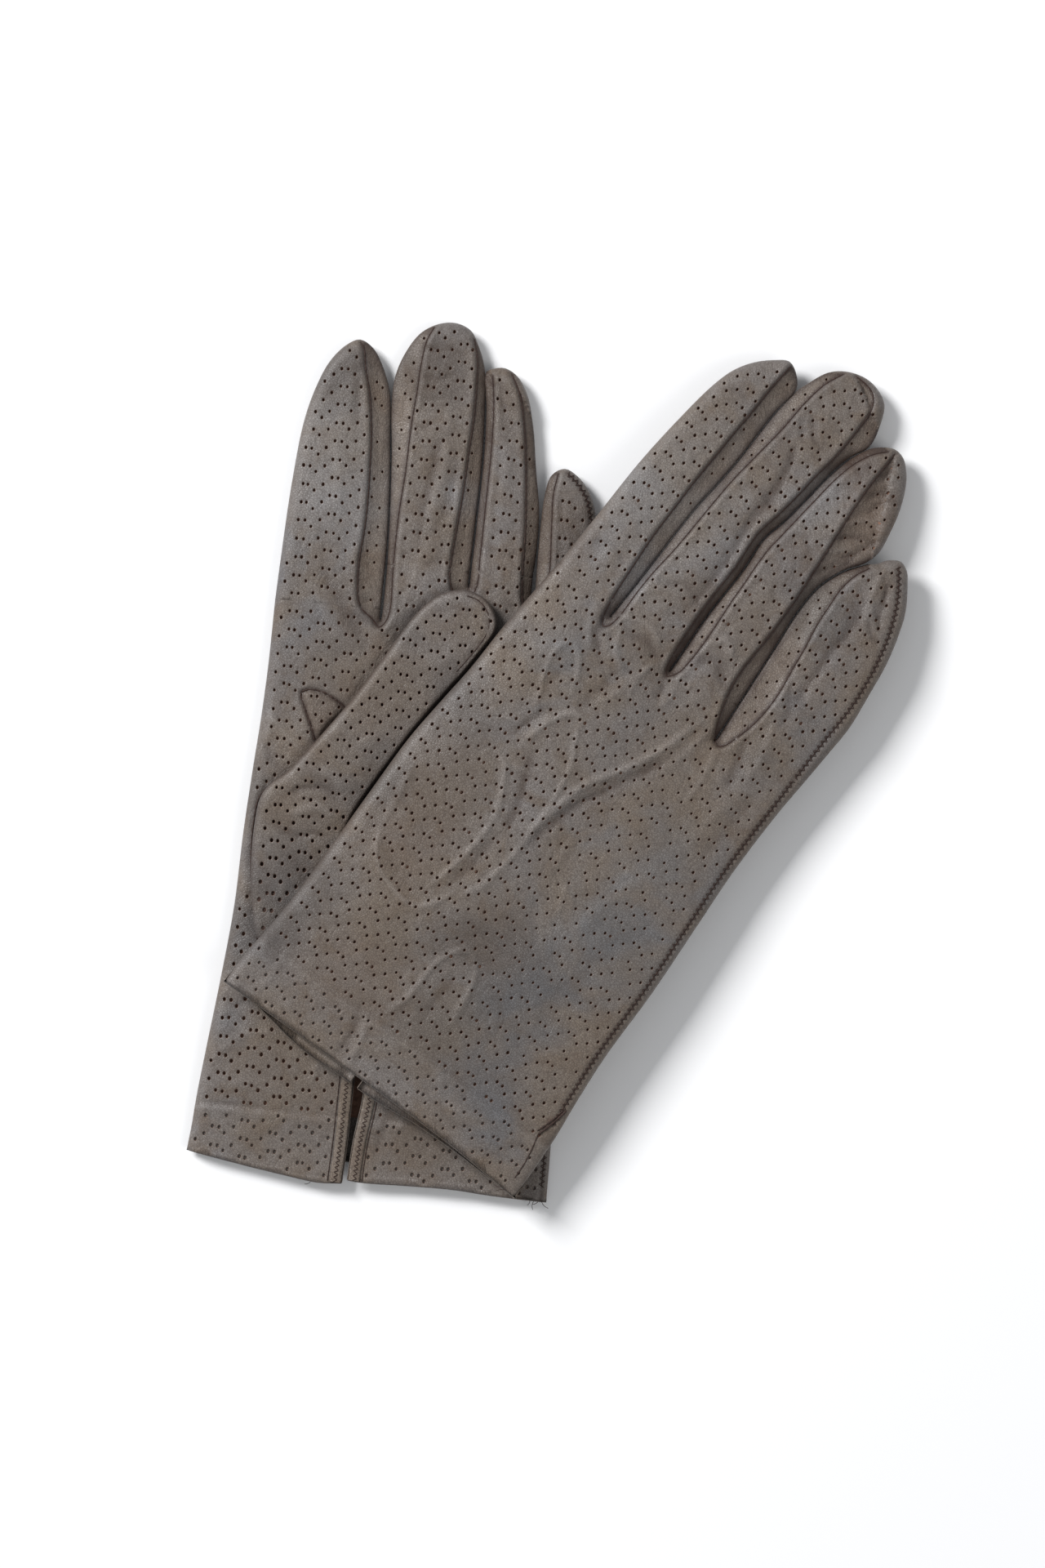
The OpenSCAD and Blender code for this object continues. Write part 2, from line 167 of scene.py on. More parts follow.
for g in (LEFT, RIGHT):
    for c in range(3):
        line = CROTCH[g][c]
        low = min(range(len(line)), key=lambda i: line[i][1])
        fl, fr = FINGER[g][c], FINGER[g][c + 1]
        nl = max(range(len(fl)), key=lambda i: fl[i][1])
        nr = max(range(len(fr)), key=lambda i: fr[i][1])
        # left edge: up the crotch's left leg and the inner side of the finger; right edge: the same on the other side
        left_edge = line[:low][::-1] + fl[1:nl]
        right_edge = line[low + 1:] + fr[nr + 1:-1][::-1]
        a, b = narrow(left_edge, right_edge)
        leg = len(line) - low - 1
        CROTCH[g][c] = a[:low][::-1] + [line[low]] + b[:leg]
        FINGER[g][c] = [a[low - 1]] + a[low:] + fl[nl:]
        FINGER[g][c + 1] = fr[:nr + 1] + b[leg:][::-1] + [b[leg - 1] if leg else line[low]]

# seams on the side that shows, and the same lines serve for the side below
SEAM_IN = (   # index, towards the middle finger
    [(-22.2, 220.0), (-21.3, 218.4), (-20.3, 213), (-18.7, 206.7), (-17.3, 197), (-16.8, 188), (-16.5, 178),
     (-16.7, 170), (-17.3, 163), (-17.1, 156), (-16.5, 151.8), (-15, 149.2), (-12.6, 147.4), (-10.3, 145.2),
     (-8.4, 147.6), (-7.8, 151.4), (-8.1, 160), (-8.1, 168.7), (-7.9, 176.3), (-7.2, 187.2), (-7, 194.8),
     (-6.7, 201.4), (-6.2, 208), (-5.8, 215.5), (-4.9, 222), (-3.2, 226)],
    [(-20.8, 219.6), (-21.7, 211.6), (-22, 204.7), (-22.6, 196.3), (-23.1, 187.8), (-23.6, 179.4), (-23.8, 170),
     (-24, 161.7), (-23.6, 151.6), (-23.2, 143.8), (-22.6, 138.6), (-21.6, 135.2), (-20.5, 134.2), (-19.4, 135.4),
     (-18.7, 138.9), (-18.6, 146.9), (-18.2, 153.9), (-17.3, 161.4), (-16.7, 169.8), (-16.2, 178.2),
     (-15.5, 186.6), (-14.4, 194.2), (-12.9, 204.7), (-12.2, 213.2), (-10.8, 220.7), (-8.4, 226)])
SEAM_MID = (  # middle to ring
    [(7.6, 224), (9, 218), (9.4, 211.5), (9.5, 203), (9.0, 194.1), (8.5, 183.3), (7.8, 174.5), (7.1, 165.8),
     (7.0, 160.4), (8.2, 156.6), (10.4, 155.0), (12.9, 155.6), (14.4, 158.2), (14.6, 166), (14.8, 180), (14.9, 196),
     (14.4, 207), (13.4, 214.5)],
    [(-5.5, 227.6), (-1.6, 227.3), (1.4, 226), (3.2, 222.6), (3.4, 217.7), (3.2, 212), (2.7, 206), (1.6, 199.7),
     (0.8, 193), (-0.4, 185.5), (-1.9, 178), (-1.5, 168), (-1.9, 156), (-1.7, 146), (-1.2, 138.6), (-0.4, 134.8),
     (0.6, 133.4), (1.9, 134.6), (2.9, 136.8), (3.3, 140), (3.5, 146.6), (3.3, 153.3), (3.0, 159.5), (2.9, 165.8),
     (2.7, 171.3), (2.8, 176.4), (3.4, 181), (4.2, 187), (5.2, 194.5), (6.3, 202), (8.0, 208.4), (10.6, 213.4),
     (13.4, 216.4)])
SEAM_RING = (  # ring to little
    [(18.4, 215.4), (21.1, 210), (23, 202), (24.2, 193.4), (25.1, 184.8), (25.9, 174.1), (26.2, 163.2),
     (26.8, 156), (28, 152.4), (29.6, 151), (31.3, 151.4), (32.8, 153.6), (33.4, 158), (33.3, 166), (32.7, 177),
     (32.4, 184.5), (33.2, 190.4)],
    [(15.1, 217.0), (15.0, 213.4), (14.6, 205.1), (15.0, 194.1), (15.6, 185.2), (16.1, 176.9), (16.5, 169.9),
     (16.5, 162.6), (16.3, 155.7), (15.9, 148.8), (16.1, 142.2), (17.4, 135.9), (19.2, 130.6), (21.0, 127.4),
     (22.3, 126.4), (23.6, 127.2), (25.1, 130.7), (26.8, 136.9), (27.4, 142.8), (27.3, 148), (26.5, 154.9),
     (25.8, 161.7), (24.9, 167.9), (24.6, 173.8), (24.5, 179.5), (25.6, 184.6), (27.4, 188.2)])
# zigzag side seam on the little finger side
SEAM_SIDE = (
    [(35.6, 190.6), (38.4, 188.2), (41.2, 184.4), (43.2, 177.5), (44.4, 165), (44.7, 150), (44.9, 130), (44.5, 110),
     (44.5, 90), (44.9, 70), (45.3, 45), (45.7, 25), (46.4, 12), (46.6, -2)],
    [(33.3, 193.2), (36.2, 189.2), (39.1, 184.2), (41.9, 176.8), (43.6, 169.5), (44.6, 162.4), (45.0, 154.6),
     (44.5, 144.7), (44.2, 136.9), (44, 130), (43.8, 122), (43.3, 103), (44, 83), (44.7, 64), (44.6, 42),
     (45.4, 28), (46.0, 20)])
# thumb of each glove with the gusset it grows from, seen from above
THUMB = (
    [(-31, 60), (-22.5, 72), (-15.2, 83), (-14.6, 88), (-13.4, 92.6), (-11.4, 97.2), (-5.1, 108), (1.55, 118.8),
     (8.0, 127.9), (13.2, 135.0), (18.1, 142.4), (20.3, 145.8), (20.9, 148.4), (20.0, 151.6), (17.0, 155.2), (12.6, 157.0), (8.6, 156.7),
     (5.0, 155.2), (1.6, 152.4), (-2.0, 147.9), (-6.5, 140.4), (-13.6, 128.6), (-20.6, 118.4), (-27.0, 109.8),
     (-31.0, 104.6), (-34.6, 101.6), (-37.2, 97.8), (-38.2, 91), (-38.2, 80), (-36.9, 69), (-34.5, 60)],
    [(-6.5, 60), (-7.5, 80), (-7, 98), (-7.5, 112), (-9.5, 121), (-13, 126.5), (-17.5, 128.4), (-22, 126.6),
     (-25.5, 121), (-27.5, 111), (-30.5, 95), (-35, 78), (-39, 62), (-41.5, 56), (-39.5, 49), (-34, 44),
     (-26, 42.5), (-18, 44.5), (-11, 50)])
QUIRK = ([(-29.3, 126), (-27.2, 127), (-24.1, 126.8), (-21.2, 125.6), (-17.3, 122.6), (-20.6, 118.2), (-24, 113.4),
          (-25.8, 117.2), (-27.7, 121.4)],
         [(-39, 110), (-34.5, 111.3), (-30, 111), (-31.4, 117), (-34, 122), (-37, 117)])


def spline(pts, step=1.0, closed=False):
    """A smooth line through the points, in steps of about step mm; the ends stay where they are."""
    p = [np.array(q, float) for q in pts]
    n = len(p)
    out = []
    for i in range(n if closed else n - 1):
        if closed:
            a, b, c, d = p[i - 1], p[i], p[(i + 1) % n], p[(i + 2) % n]
        else:
            b, c = p[i], p[i + 1]
            a = p[i - 1] if i else 2 * b - c
            d = p[i + 2] if i + 2 < n else 2 * c - b
        m = max(1, int(round(np.hypot(*(c - b)) / step)))
        t0, t1 = 0.0, np.hypot(*(b - a)) ** 0.5
        t2 = t1 + np.hypot(*(c - b)) ** 0.5
        t3 = t2 + np.hypot(*(d - c)) ** 0.5
        for k in range(m):
            t = t1 + (t2 - t1) * k / m
            A1 = (t1 - t) / (t1 - t0) * a + (t - t0) / (t1 - t0) * b
            A2 = (t2 - t) / (t2 - t1) * b + (t - t1) / (t2 - t1) * c
            A3 = (t3 - t) / (t3 - t2) * c + (t - t2) / (t3 - t2) * d
            B1 = (t2 - t) / (t2 - t0) * A1 + (t - t0) / (t2 - t0) * A2
            B2 = (t3 - t) / (t3 - t1) * A2 + (t - t1) / (t3 - t1) * A3
            out.append((t2 - t) / (t2 - t1) * B1 + (t - t1) / (t2 - t1) * B2)
    if not closed:
        out.append(p[-1])
    return np.array(out)


def straight(a, b, step=1.2):
    a, b = np.array(a, float), np.array(b, float)
    m = max(1, int(round(np.hypot(*(b - a)) / step)))
    return np.array([a + (b - a) * k / m for k in range(m + 1)])


def chain(*parts):
    """Joins lines end to end into one closed loop without doubled points."""
    out = []
    for part in parts:
        for q in part:
            if not out or np.hypot(*(q - out[-1])) > 1e-4:
                out.append(q)
    if np.hypot(*(out[0] - out[-1])) < 1e-4:
        out.pop()
    return np.array(out)


TREES = {}


def near(points, lines):
    """Distance of each point from the nearest line, and how far along that line's segments it is."""
    key = id(lines)
    if key not in TREES:
        a = np.vstack([l[:-1] for l in lines])
        b = np.vstack([l[1:] for l in lines])
        idx, pos = [], []
        for k in range(len(a)):
            m = max(1, int(np.hypot(*(b[k] - a[k])) / 0.5))
            for i in range(m + 1):
                pos.append(a[k] + (b[k] - a[k]) * i / m)
                idx.append(k)
        tree = kdtree.KDTree(len(pos))
        for i, q in enumerate(pos):
            tree.insert((q[0], q[1], 0.0), i)
        tree.balance()
        TREES[key] = (lines, a, b, idx, tree)
    _, a, b, idx, tree = TREES[key]
    k0 = np.array([idx[tree.find((p[0], p[1], 0.0))[1]] for p in points], int)
    best = np.full(len(points), 1e9)
    for off in (-1, 0, 1):
        k = np.clip(k0 + off, 0, len(a) - 1)
        ab = b[k] - a[k]
        t = np.clip(((points - a[k]) * ab).sum(1) / ((ab ** 2).sum(1) + 1e-12), 0, 1)
        q = a[k] + t[:, None] * ab
        best = np.minimum(best, np.hypot(*(points - q).T))
    return best, k0


def seg_distance(points, lines):
    return near(np.asarray(points, float), lines)[0]


def inside(poly, pts):
    x, y = pts[:, 0], pts[:, 1]
    c = np.zeros(len(pts), bool)
    n = len(poly)
    for i in range(n):
        x1, y1 = poly[i]
        x2, y2 = poly[(i + 1) % n]
        if y1 == y2:
            continue
        k = (y1 > y) != (y2 > y)
        c ^= k & (x < (x2 - x1) * (y - y1) / (y2 - y1) + x1)
    return c


# rims: every line where the upper and lower sheet of a glove meet
RIMS = []
for g in (LEFT, RIGHT):
    RIMS.append([spline(SIDE_IN[g]), spline(SIDE_OUT[g])] + [spline(c, 0.7) for c in CROTCH[g]]
                + [spline(f) for f in FINGER[g]])
THUMB_RIM = [[spline(THUMB[g], 1.0, closed=True)] for g in (LEFT, RIGHT)]
for g in (LEFT, RIGHT):
    THUMB_RIM[g][0] = np.vstack([THUMB_RIM[g][0], THUMB_RIM[g][0][:1]])
SEAMS = [[spline(SEAM_IN[g], 0.8), spline(SEAM_MID[g], 0.8), spline(SEAM_RING[g], 0.8)] for g in (LEFT, RIGHT)]
SIDE_SEAM = [spline(SEAM_SIDE[g], 0.8) for g in (LEFT, RIGHT)]


SIDE_LINES = [[SIDE_SEAM[g]] for g in (LEFT, RIGHT)]
QUIRK_EDGE = [[np.vstack([q, q[:1]])] for q in (spline(QUIRK[0], 0.8, closed=True), spline(QUIRK[1], 0.8, closed=True))]


# where the thumb's gusset is sewn into the palm
GUSSET_LINE = [spline([(-29.5, 104.4), (-32.5, 102.8), (-35.2, 100.6), (-37.7, 97.4), (-38.6, 91), (-38.5, 82),
                       (-37.6, 74), (-36.0, 66), (-34.6, 59.6)], 0.8),
               spline([(-31, 100), (-34.5, 86), (-38, 70), (-41, 60), (-41.4, 54), (-38.5, 48.5), (-32, 44), (-25, 42.6),
                       (-17, 44.4), (-10.5, 50), (-6.6, 60), (-7, 74)], 0.8)]
GUSSET_SEAM = [[GUSSET_LINE[g]] for g in (LEFT, RIGHT)]
# the seam round the tip of the folded thumb
TIP_SEAM = [spline([(12.0, 155.6), (15.6, 154.4), (18.0, 151.6), (18.7, 148.2), (17.6, 144.6), (15.0, 140.4), (11.2, 135.2)], 0.8)]


# ---------------------------------------------------------------- relief

def fbm(x, y, scale, seed=0.0, octaves=3):
    out = np.empty(len(x))
    for i in range(len(x)):
        out[i] = noise.fractal(Vector((x[i] / scale + seed, y[i] / scale - seed, seed * 0.37)), 1.0, 2.0, octaves)
    return out


# folds and ridges in the leather: line, height and half-width in mm
FOLDS = {
    (LEFT, "top"): [
        ([(-40, 120), (-36, 118), (-31.5, 113.5), (-26, 110)], 0.35, 1.1),
        ([(-38, 112), (-35, 107), (-31, 104.5)], -0.35, 1.0),
        ([(-41, 104), (-38, 112), (-36, 121)], 0.30, 1.3),
        ([(-38.5, 100), (-40, 92), (-40.5, 82)], 0.22, 1.2),
        ([(-43, 28), (-36, 34), (-26, 36)], 0.32, 1.3),
        ([(-43, 38), (-36, 35.5), (-28, 28)], 0.28, 1.2),
        ([(-44, 44), (-38, 42), (-32, 46)], -0.22, 1.2),
        ([(-17, 24), (-14.5, 31), (-14, 37)], 0.30, 1.0),
        ([(-40, 20), (-30, 22), (-20, 19)], 0.20, 1.8),
        ([(-27, 159), (-21, 151), (-17.5, 146), (-14, 141)], -0.38, 1.5),
        ([(-31, 156), (-24, 147), (-19, 140)], 0.26, 1.7),
        ([(-10, 143), (-6, 148), (-3, 156), (-1, 166)], 0.30, 1.4),
        ([(-6, 141), (-2, 147), (1, 153)], -0.32, 1.2),
        ([(-1, 173), (2, 183), (3, 192), (3, 205)], 0.30, 1.6),
        ([(1, 170), (5, 180), (6, 192)], -0.26, 1.3),
        ([(-7, 166), (-1, 163), (6, 165)], -0.25, 0.9),
        ([(-28, 196), (-25, 188), (-24, 176)], 0.22, 1.6),
        ([(-32, 172), (-29, 164), (-28, 156)], 0.22, 1.8),
        ([(17, 200), (19, 190), (19, 178)], 0.24, 1.4),
        ([(15, 170), (20, 167), (26, 169)], -0.22, 0.9),
        ([(16, 208), (19, 206), (21, 207)], -0.20, 0.8),
        ([(-27, 214), (-24, 212), (-21, 214)], -0.20, 0.8),
        ([(-6, 219), (0, 221), (6, 219)], -0.22, 0.9),
        ([(37, 172), (38, 160), (37, 148)], 0.2, 1.5),
        ([(4.2, 198.3), (0.9, 194.4), (0.3, 188.3), (-0.8, 181), (-1.3, 173.7), (-1.9, 167)], -0.38, 1.5),
        ([(-21.9, 218), (-21.6, 212.8), (-21.6, 206.1), (-21.4, 199)], -0.34, 1.3),
        ([(14.9, 212), (17.5, 204.4), (19.2, 198.5)], -0.32, 1.3),
        ([(14.3, 211.9), (16.2, 211.5), (18.8, 209.9)], -0.25, 0.6),
        ([(-14.9, 151.9), (-13.2, 152.4), (-11.9, 151.9)], -0.30, 0.6),
        ([(-7, 221), (-2, 219.5), (2, 220.5)], -0.32, 0.6),
        ([(-6, 213.5), (-1, 212), (3, 213.5)], -0.32, 0.6),
        ([(-7, 208), (-3, 206.5), (1.5, 207.5)], -0.28, 0.6),
        ([(-8, 200), (-4, 199), (-1, 200)], -0.26, 0.6),
        ([(33, 184), (35, 181), (36, 178)], -0.24, 0.7),
        ([(-17, 148.1), (-15.1, 147.1), (-11.9, 145.6)], -0.35, 0.8),
        ([(6, 10), (12, 22), (20, 28)], 0.28, 1.3),
        ([(2, 6), (4, 16), (5, 28)], -0.25, 1.0),
        ([(28, 10), (34, 6), (42, 8)], 0.2, 1.8),
    ],
    (RIGHT, "top"): [
        # the tip of the folded thumb shows through as an arch
        ([(-22, 105), (-24, 110.5), (-26, 115.5), (-27, 121), (-26, 125), (-24, 126), (-21, 124), (-18.5, 120),
          (-17, 115.5)], 0.42, 0.85),
        ([(-24, 112), (-22.5, 117), (-21.5, 121)], -0.22, 1.6),
        ([(-31.5, 99.5), (-28.5, 99.3), (-24.5, 100.5)], 0.36, 0.75),
        ([(-20, 97), (-19, 100), (-17.5, 105), (-15.5, 109), (-12.5, 111.5), (-10, 110.5)], 0.50, 1.2),
        ([(-23, 98), (-21.5, 103), (-19.5, 108)], -0.42, 1.0),
        ([(-10.5, 110), (-9, 106), (-6.5, 101), (-5, 95.5), (-4.3, 89.5), (-4, 83)], 0.40, 0.75),
        ([(-4, 84), (-4, 73.5), (-5, 66.5), (-6.5, 59.5), (-9.5, 54)], 0.40, 1.0),
        ([(-22.5, 90.5), (-20, 89.5), (-18, 86), (-15.5, 81), (-14.5, 77)], 0.52, 0.95),
        ([(-19, 89.5), (-16.5, 91), (-13, 91.5)], 0.32, 0.75),
        ([(-16, 96), (-13.5, 90), (-11, 83), (-9.5, 75)], -0.45, 1.5),
        ([(-14, 77), (-14, 69), (-15, 62.5), (-16, 57), (-17.5, 52.5)], 0.48, 0.85),
        ([(-11, 72), (-11.5, 63), (-13.5, 55)], -0.35, 1.3),
        # and the root of the thumb as a loop
        ([(-37, 58), (-34.5, 51.5), (-30, 47.5), (-25.5, 46), (-20.5, 45), (-16.5, 46), (-13.5, 49.5), (-11, 55)],
         0.46, 0.95),
        ([(-33, 55), (-28, 50.5), (-22, 49)], -0.24, 1.8),
        ([(-40, 76), (-38, 66), (-37, 58)], 0.30, 1.3),
        # long folds running up to the knuckles
        ([(-4.5, 78.5), (-2.5, 88), (-1.2, 94), (1.5, 100), (5.5, 106), (9, 112.5), (12, 119.5), (14, 126.5),
          (15.5, 130)], 0.60, 1.3),
        ([(-2.6, 76), (0, 87), (2.8, 95), (7, 102.5), (11, 109.5), (14.2, 117)], -0.50, 1.4),
        ([(-1.5, 88), (1, 94), (5, 100), (9, 105), (12, 109.5)], 0.22, 0.9),
        ([(6.5, 73.5), (6, 79), (5.5, 84)], 0.24, 1.1),
        ([(14, 66.5), (13, 70), (11.5, 73)], 0.30, 0.9),
        ([(-10, 116.5), (-8, 119.5), (-6.5, 126.5), (-4, 134)], 0.28, 1.4),
        ([(-12.5, 114), (-11.5, 121), (-10, 128)], -0.26, 1.5),
        ([(20, 62), (23, 76), (27, 88)], 0.30, 2.6),
        ([(26, 44), (30, 60), (35, 76)], -0.25, 3.0),
        ([(30, 96), (32, 106), (33, 118)], 0.22, 2.2),
        ([(36, 100), (37.5, 110), (38, 122)], -0.22, 1.8),
        # hollows and gathers at the knuckles
        ([(-22.5, 137.5), (-20.5, 131.5), (-17, 128)], -0.5, 1.1),
        ([(-25.5, 140), (-24, 133), (-20, 127)], 0.30, 1.0),
        ([(-16.5, 137), (-14, 131), (-10.5, 128)], 0.38, 1.0),
        ([(-18, 139.5), (-11, 141.5), (-5, 139)], 0.40, 1.1),
        ([(-14, 136.5), (-9, 137.8), (-4, 135.5)], -0.40, 1.2),
        ([(-4, 134.5), (-5, 129), (-4.5, 123)], 0.30, 0.9),
        ([(-1, 133.5), (1.5, 131), (2, 127)], -0.42, 0.9),
        ([(3.2, 137), (4.5, 131), (4.5, 125)], 0.34, 0.9),
        ([(5.5, 147.5), (7, 150), (9.5, 150), (12, 147.5)], 0.55, 1.2),
        ([(4, 141), (9, 144), (14, 141)], -0.42, 1.7),
        ([(18, 128), (17, 121), (15, 114)], 0.30, 1.1),
        ([(23, 125), (24, 118), (24.5, 110)], 0.28, 1.1),
        ([(27, 133), (29.5, 126), (31, 118)], -0.34, 1.5),
        ([(31, 140), (33.5, 132), (34, 123)], 0.28, 1.4),
        ([(33, 150), (37, 146), (41, 147)], -0.25, 1.2),
        # fingers
        ([(-9.1, 209.4), (-6.7, 201.1), (-4.7, 189.1), (-5.2, 182.1), (-5.0, 176.8), (-4.4, 170), (-4.2, 164),
          (-4.2, 158.1), (-5.2, 151)], -0.50, 1.5),
        ([(-16.1, 148.8), (-14.6, 151.3), (-12.5, 152.1)], 0.42, 0.9),
        ([(30.6, 182.8), (32.8, 172.4), (32.1, 165.1), (32.4, 157.4), (32.1, 148.5), (33.1, 141.2), (30.1, 138.4)],
         -0.50, 1.5),
        ([(27.6, 152.3), (30, 148.3), (31.8, 144.9)], -0.34, 0.8),
        ([(24.6, 194.7), (22.5, 190.2), (19.8, 185.6), (18.4, 181.2)], -0.5, 0.6),
        ([(22.8, 189.8), (21.1, 183.9), (19.3, 177.2)], -0.45, 0.7),
        ([(16.9, 213.6), (16.4, 210.5), (15.8, 208)], -0.4, 0.6),
        ([(21.6, 206.2), (19.7, 204.2), (18.7, 200.1)], -0.4, 0.7),
        ([(31.9, 188.4), (34.7, 185.8), (36.2, 182.9)], -0.42, 0.6),
        ([(34.6, 181), (37.4, 178.4), (38.9, 176.8)], -0.42, 0.6),
        ([(35.6, 176.4), (37.4, 174.4), (40.3, 173.1)], -0.42, 0.6),
        ([(-36, 150), (-31, 153), (-26, 151)], -0.20, 0.9),
        ([(-34, 184), (-30, 186), (-26, 184)], -0.20, 0.9),
        ([(-31, 204), (-28, 206), (-24, 205)], -0.20, 0.8),
        ([(-14, 152), (-9, 156), (-3, 154)], -0.28, 0.9),
        ([(-13, 186), (-8, 188), (-2, 186)], -0.24, 0.9),
        ([(-11, 208), (-6, 203), (-1, 203)], 0.30, 1.0),
        ([(-8, 212), (-4, 207), (1, 207)], -0.30, 0.9),
        ([(4, 166), (8, 169), (12, 167)], -0.22, 0.8),
        ([(5, 182), (9, 185), (12, 183)], -0.22, 0.8),
        ([(8, 200), (11, 202), (13, 200)], -0.2, 0.8),
        ([(15.5, 194), (20, 198.5), (25, 199)], 0.42, 0.75),
        ([(15.5, 189), (20, 193), (25.5, 194.5)], -0.42, 0.8),
        ([(15.5, 185), (19, 188), (23.5, 190)], 0.34, 0.7),
        ([(16, 203), (20, 207), (24, 207)], -0.36, 0.8),
        ([(16.5, 208), (19, 211), (22, 211)], 0.26, 0.7),
        ([(16, 178), (18.5, 181), (20.5, 183)], -0.3, 0.7),
        ([(31, 190), (32, 183), (35, 177)], 0.34, 0.8),
        ([(34, 190), (35, 184), (38, 178)], -0.34, 0.8),
        ([(29, 184), (30, 176), (33, 168)], -0.22, 1.2),
        ([(22.5, 176), (23.8, 166), (26.5, 158)], 0.30, 0.9),
        # the wrist slit below shows as a narrow arch
        ([(-7.5, 17), (-5, 24), (-4.5, 30), (-4.2, 35.5), (-3, 39.5), (-0.5, 43), (2, 44), (5, 42), (7, 37.5),
          (8, 31), (8.5, 24)], 0.48, 1.05),
        ([(1.5, 22), (2, 30), (2, 38)], -0.30, 1.9),
        ([(-10, 14), (-8, 8), (-7.5, 1)], 0.34, 1.1),
        ([(-13, 15), (-11, 8), (-11, 1)], -0.30, 1.2),
        ([(14, 14), (19, 8), (27, 9)], 0.34, 1.3),
        ([(16, 11), (22, 5), (31, 6)], -0.26, 1.1),
        ([(-38, 16), (-37, 9), (-38, 3)], 0.24, 1.3),
        ([(-30, 22), (-20, 20), (-10, 21)], 0.18, 1.6),
    ],
}
FOLD_LINES = {k: [([spline(l, 1.2)], h * (0.82 if h > 0 else 0.95), w * (0.80 if h > 0 else 1.0)) for l, h, w in v]
              for k, v in FOLDS.items()}
FOLD_ALL = {k: [e[0][0] for e in v] for k, v in FOLD_LINES.items()}


def folds(g, side, x, y):
    z = np.zeros(len(x))
    pts = np.stack([x, y], 1)
    for lines, h, w in FOLD_LINES.get((g, side), []):
        sp = lines[0]
        lo, hi = sp.min(0) - 4 * w, sp.max(0) + 4 * w
        k = np.where((x > lo[0]) & (x < hi[0]) & (y > lo[1]) & (y < hi[1]))[0]
        if not len(k):
            continue
        d, j = near(pts[k], lines)
        along = (j + 0.5) / max(1, len(sp) - 1)
        taper = np.clip(np.minimum(along, 1 - along) * 5 + 0.25, 0, 1)
        z[k] += h * taper * np.exp(-(d / w) ** 2)
    return z


def rim_factor(d, r):
    t = 1 - np.clip(d / r, 0, 1)
    return np.sqrt(np.maximum(0.0, 1 - t * t))


def base_height(g, x, y, s):
    """World height of the underside of a glove. s is how far past its finger root a point is."""
    if g == LEFT:
        return np.zeros(len(x))
    wx, wy = to_world(g, x, y)
    pts = np.stack([x, y], 1)
    over = inside(THUMB_RIM[RIGHT][0], pts)
    d = np.where(over, 0.0, seg_distance(pts, THUMB_RIM[RIGHT]))
    near_thumb = 1 - smooth((d - 1.0) / 17.0)
    low = 1.5 * (1 - near_thumb)
    off = smooth((wx - 12) / 60.0)          # past the edge of the glove below
    sag = low + 2.2 * off * (1 - near_thumb)
    fade = 1 - smooth(s / 45.0)
    drop = DROOP * (np.sqrt(s * s + 25.0) - 5.0)
    return RIGHT_Z - sag * fade - drop


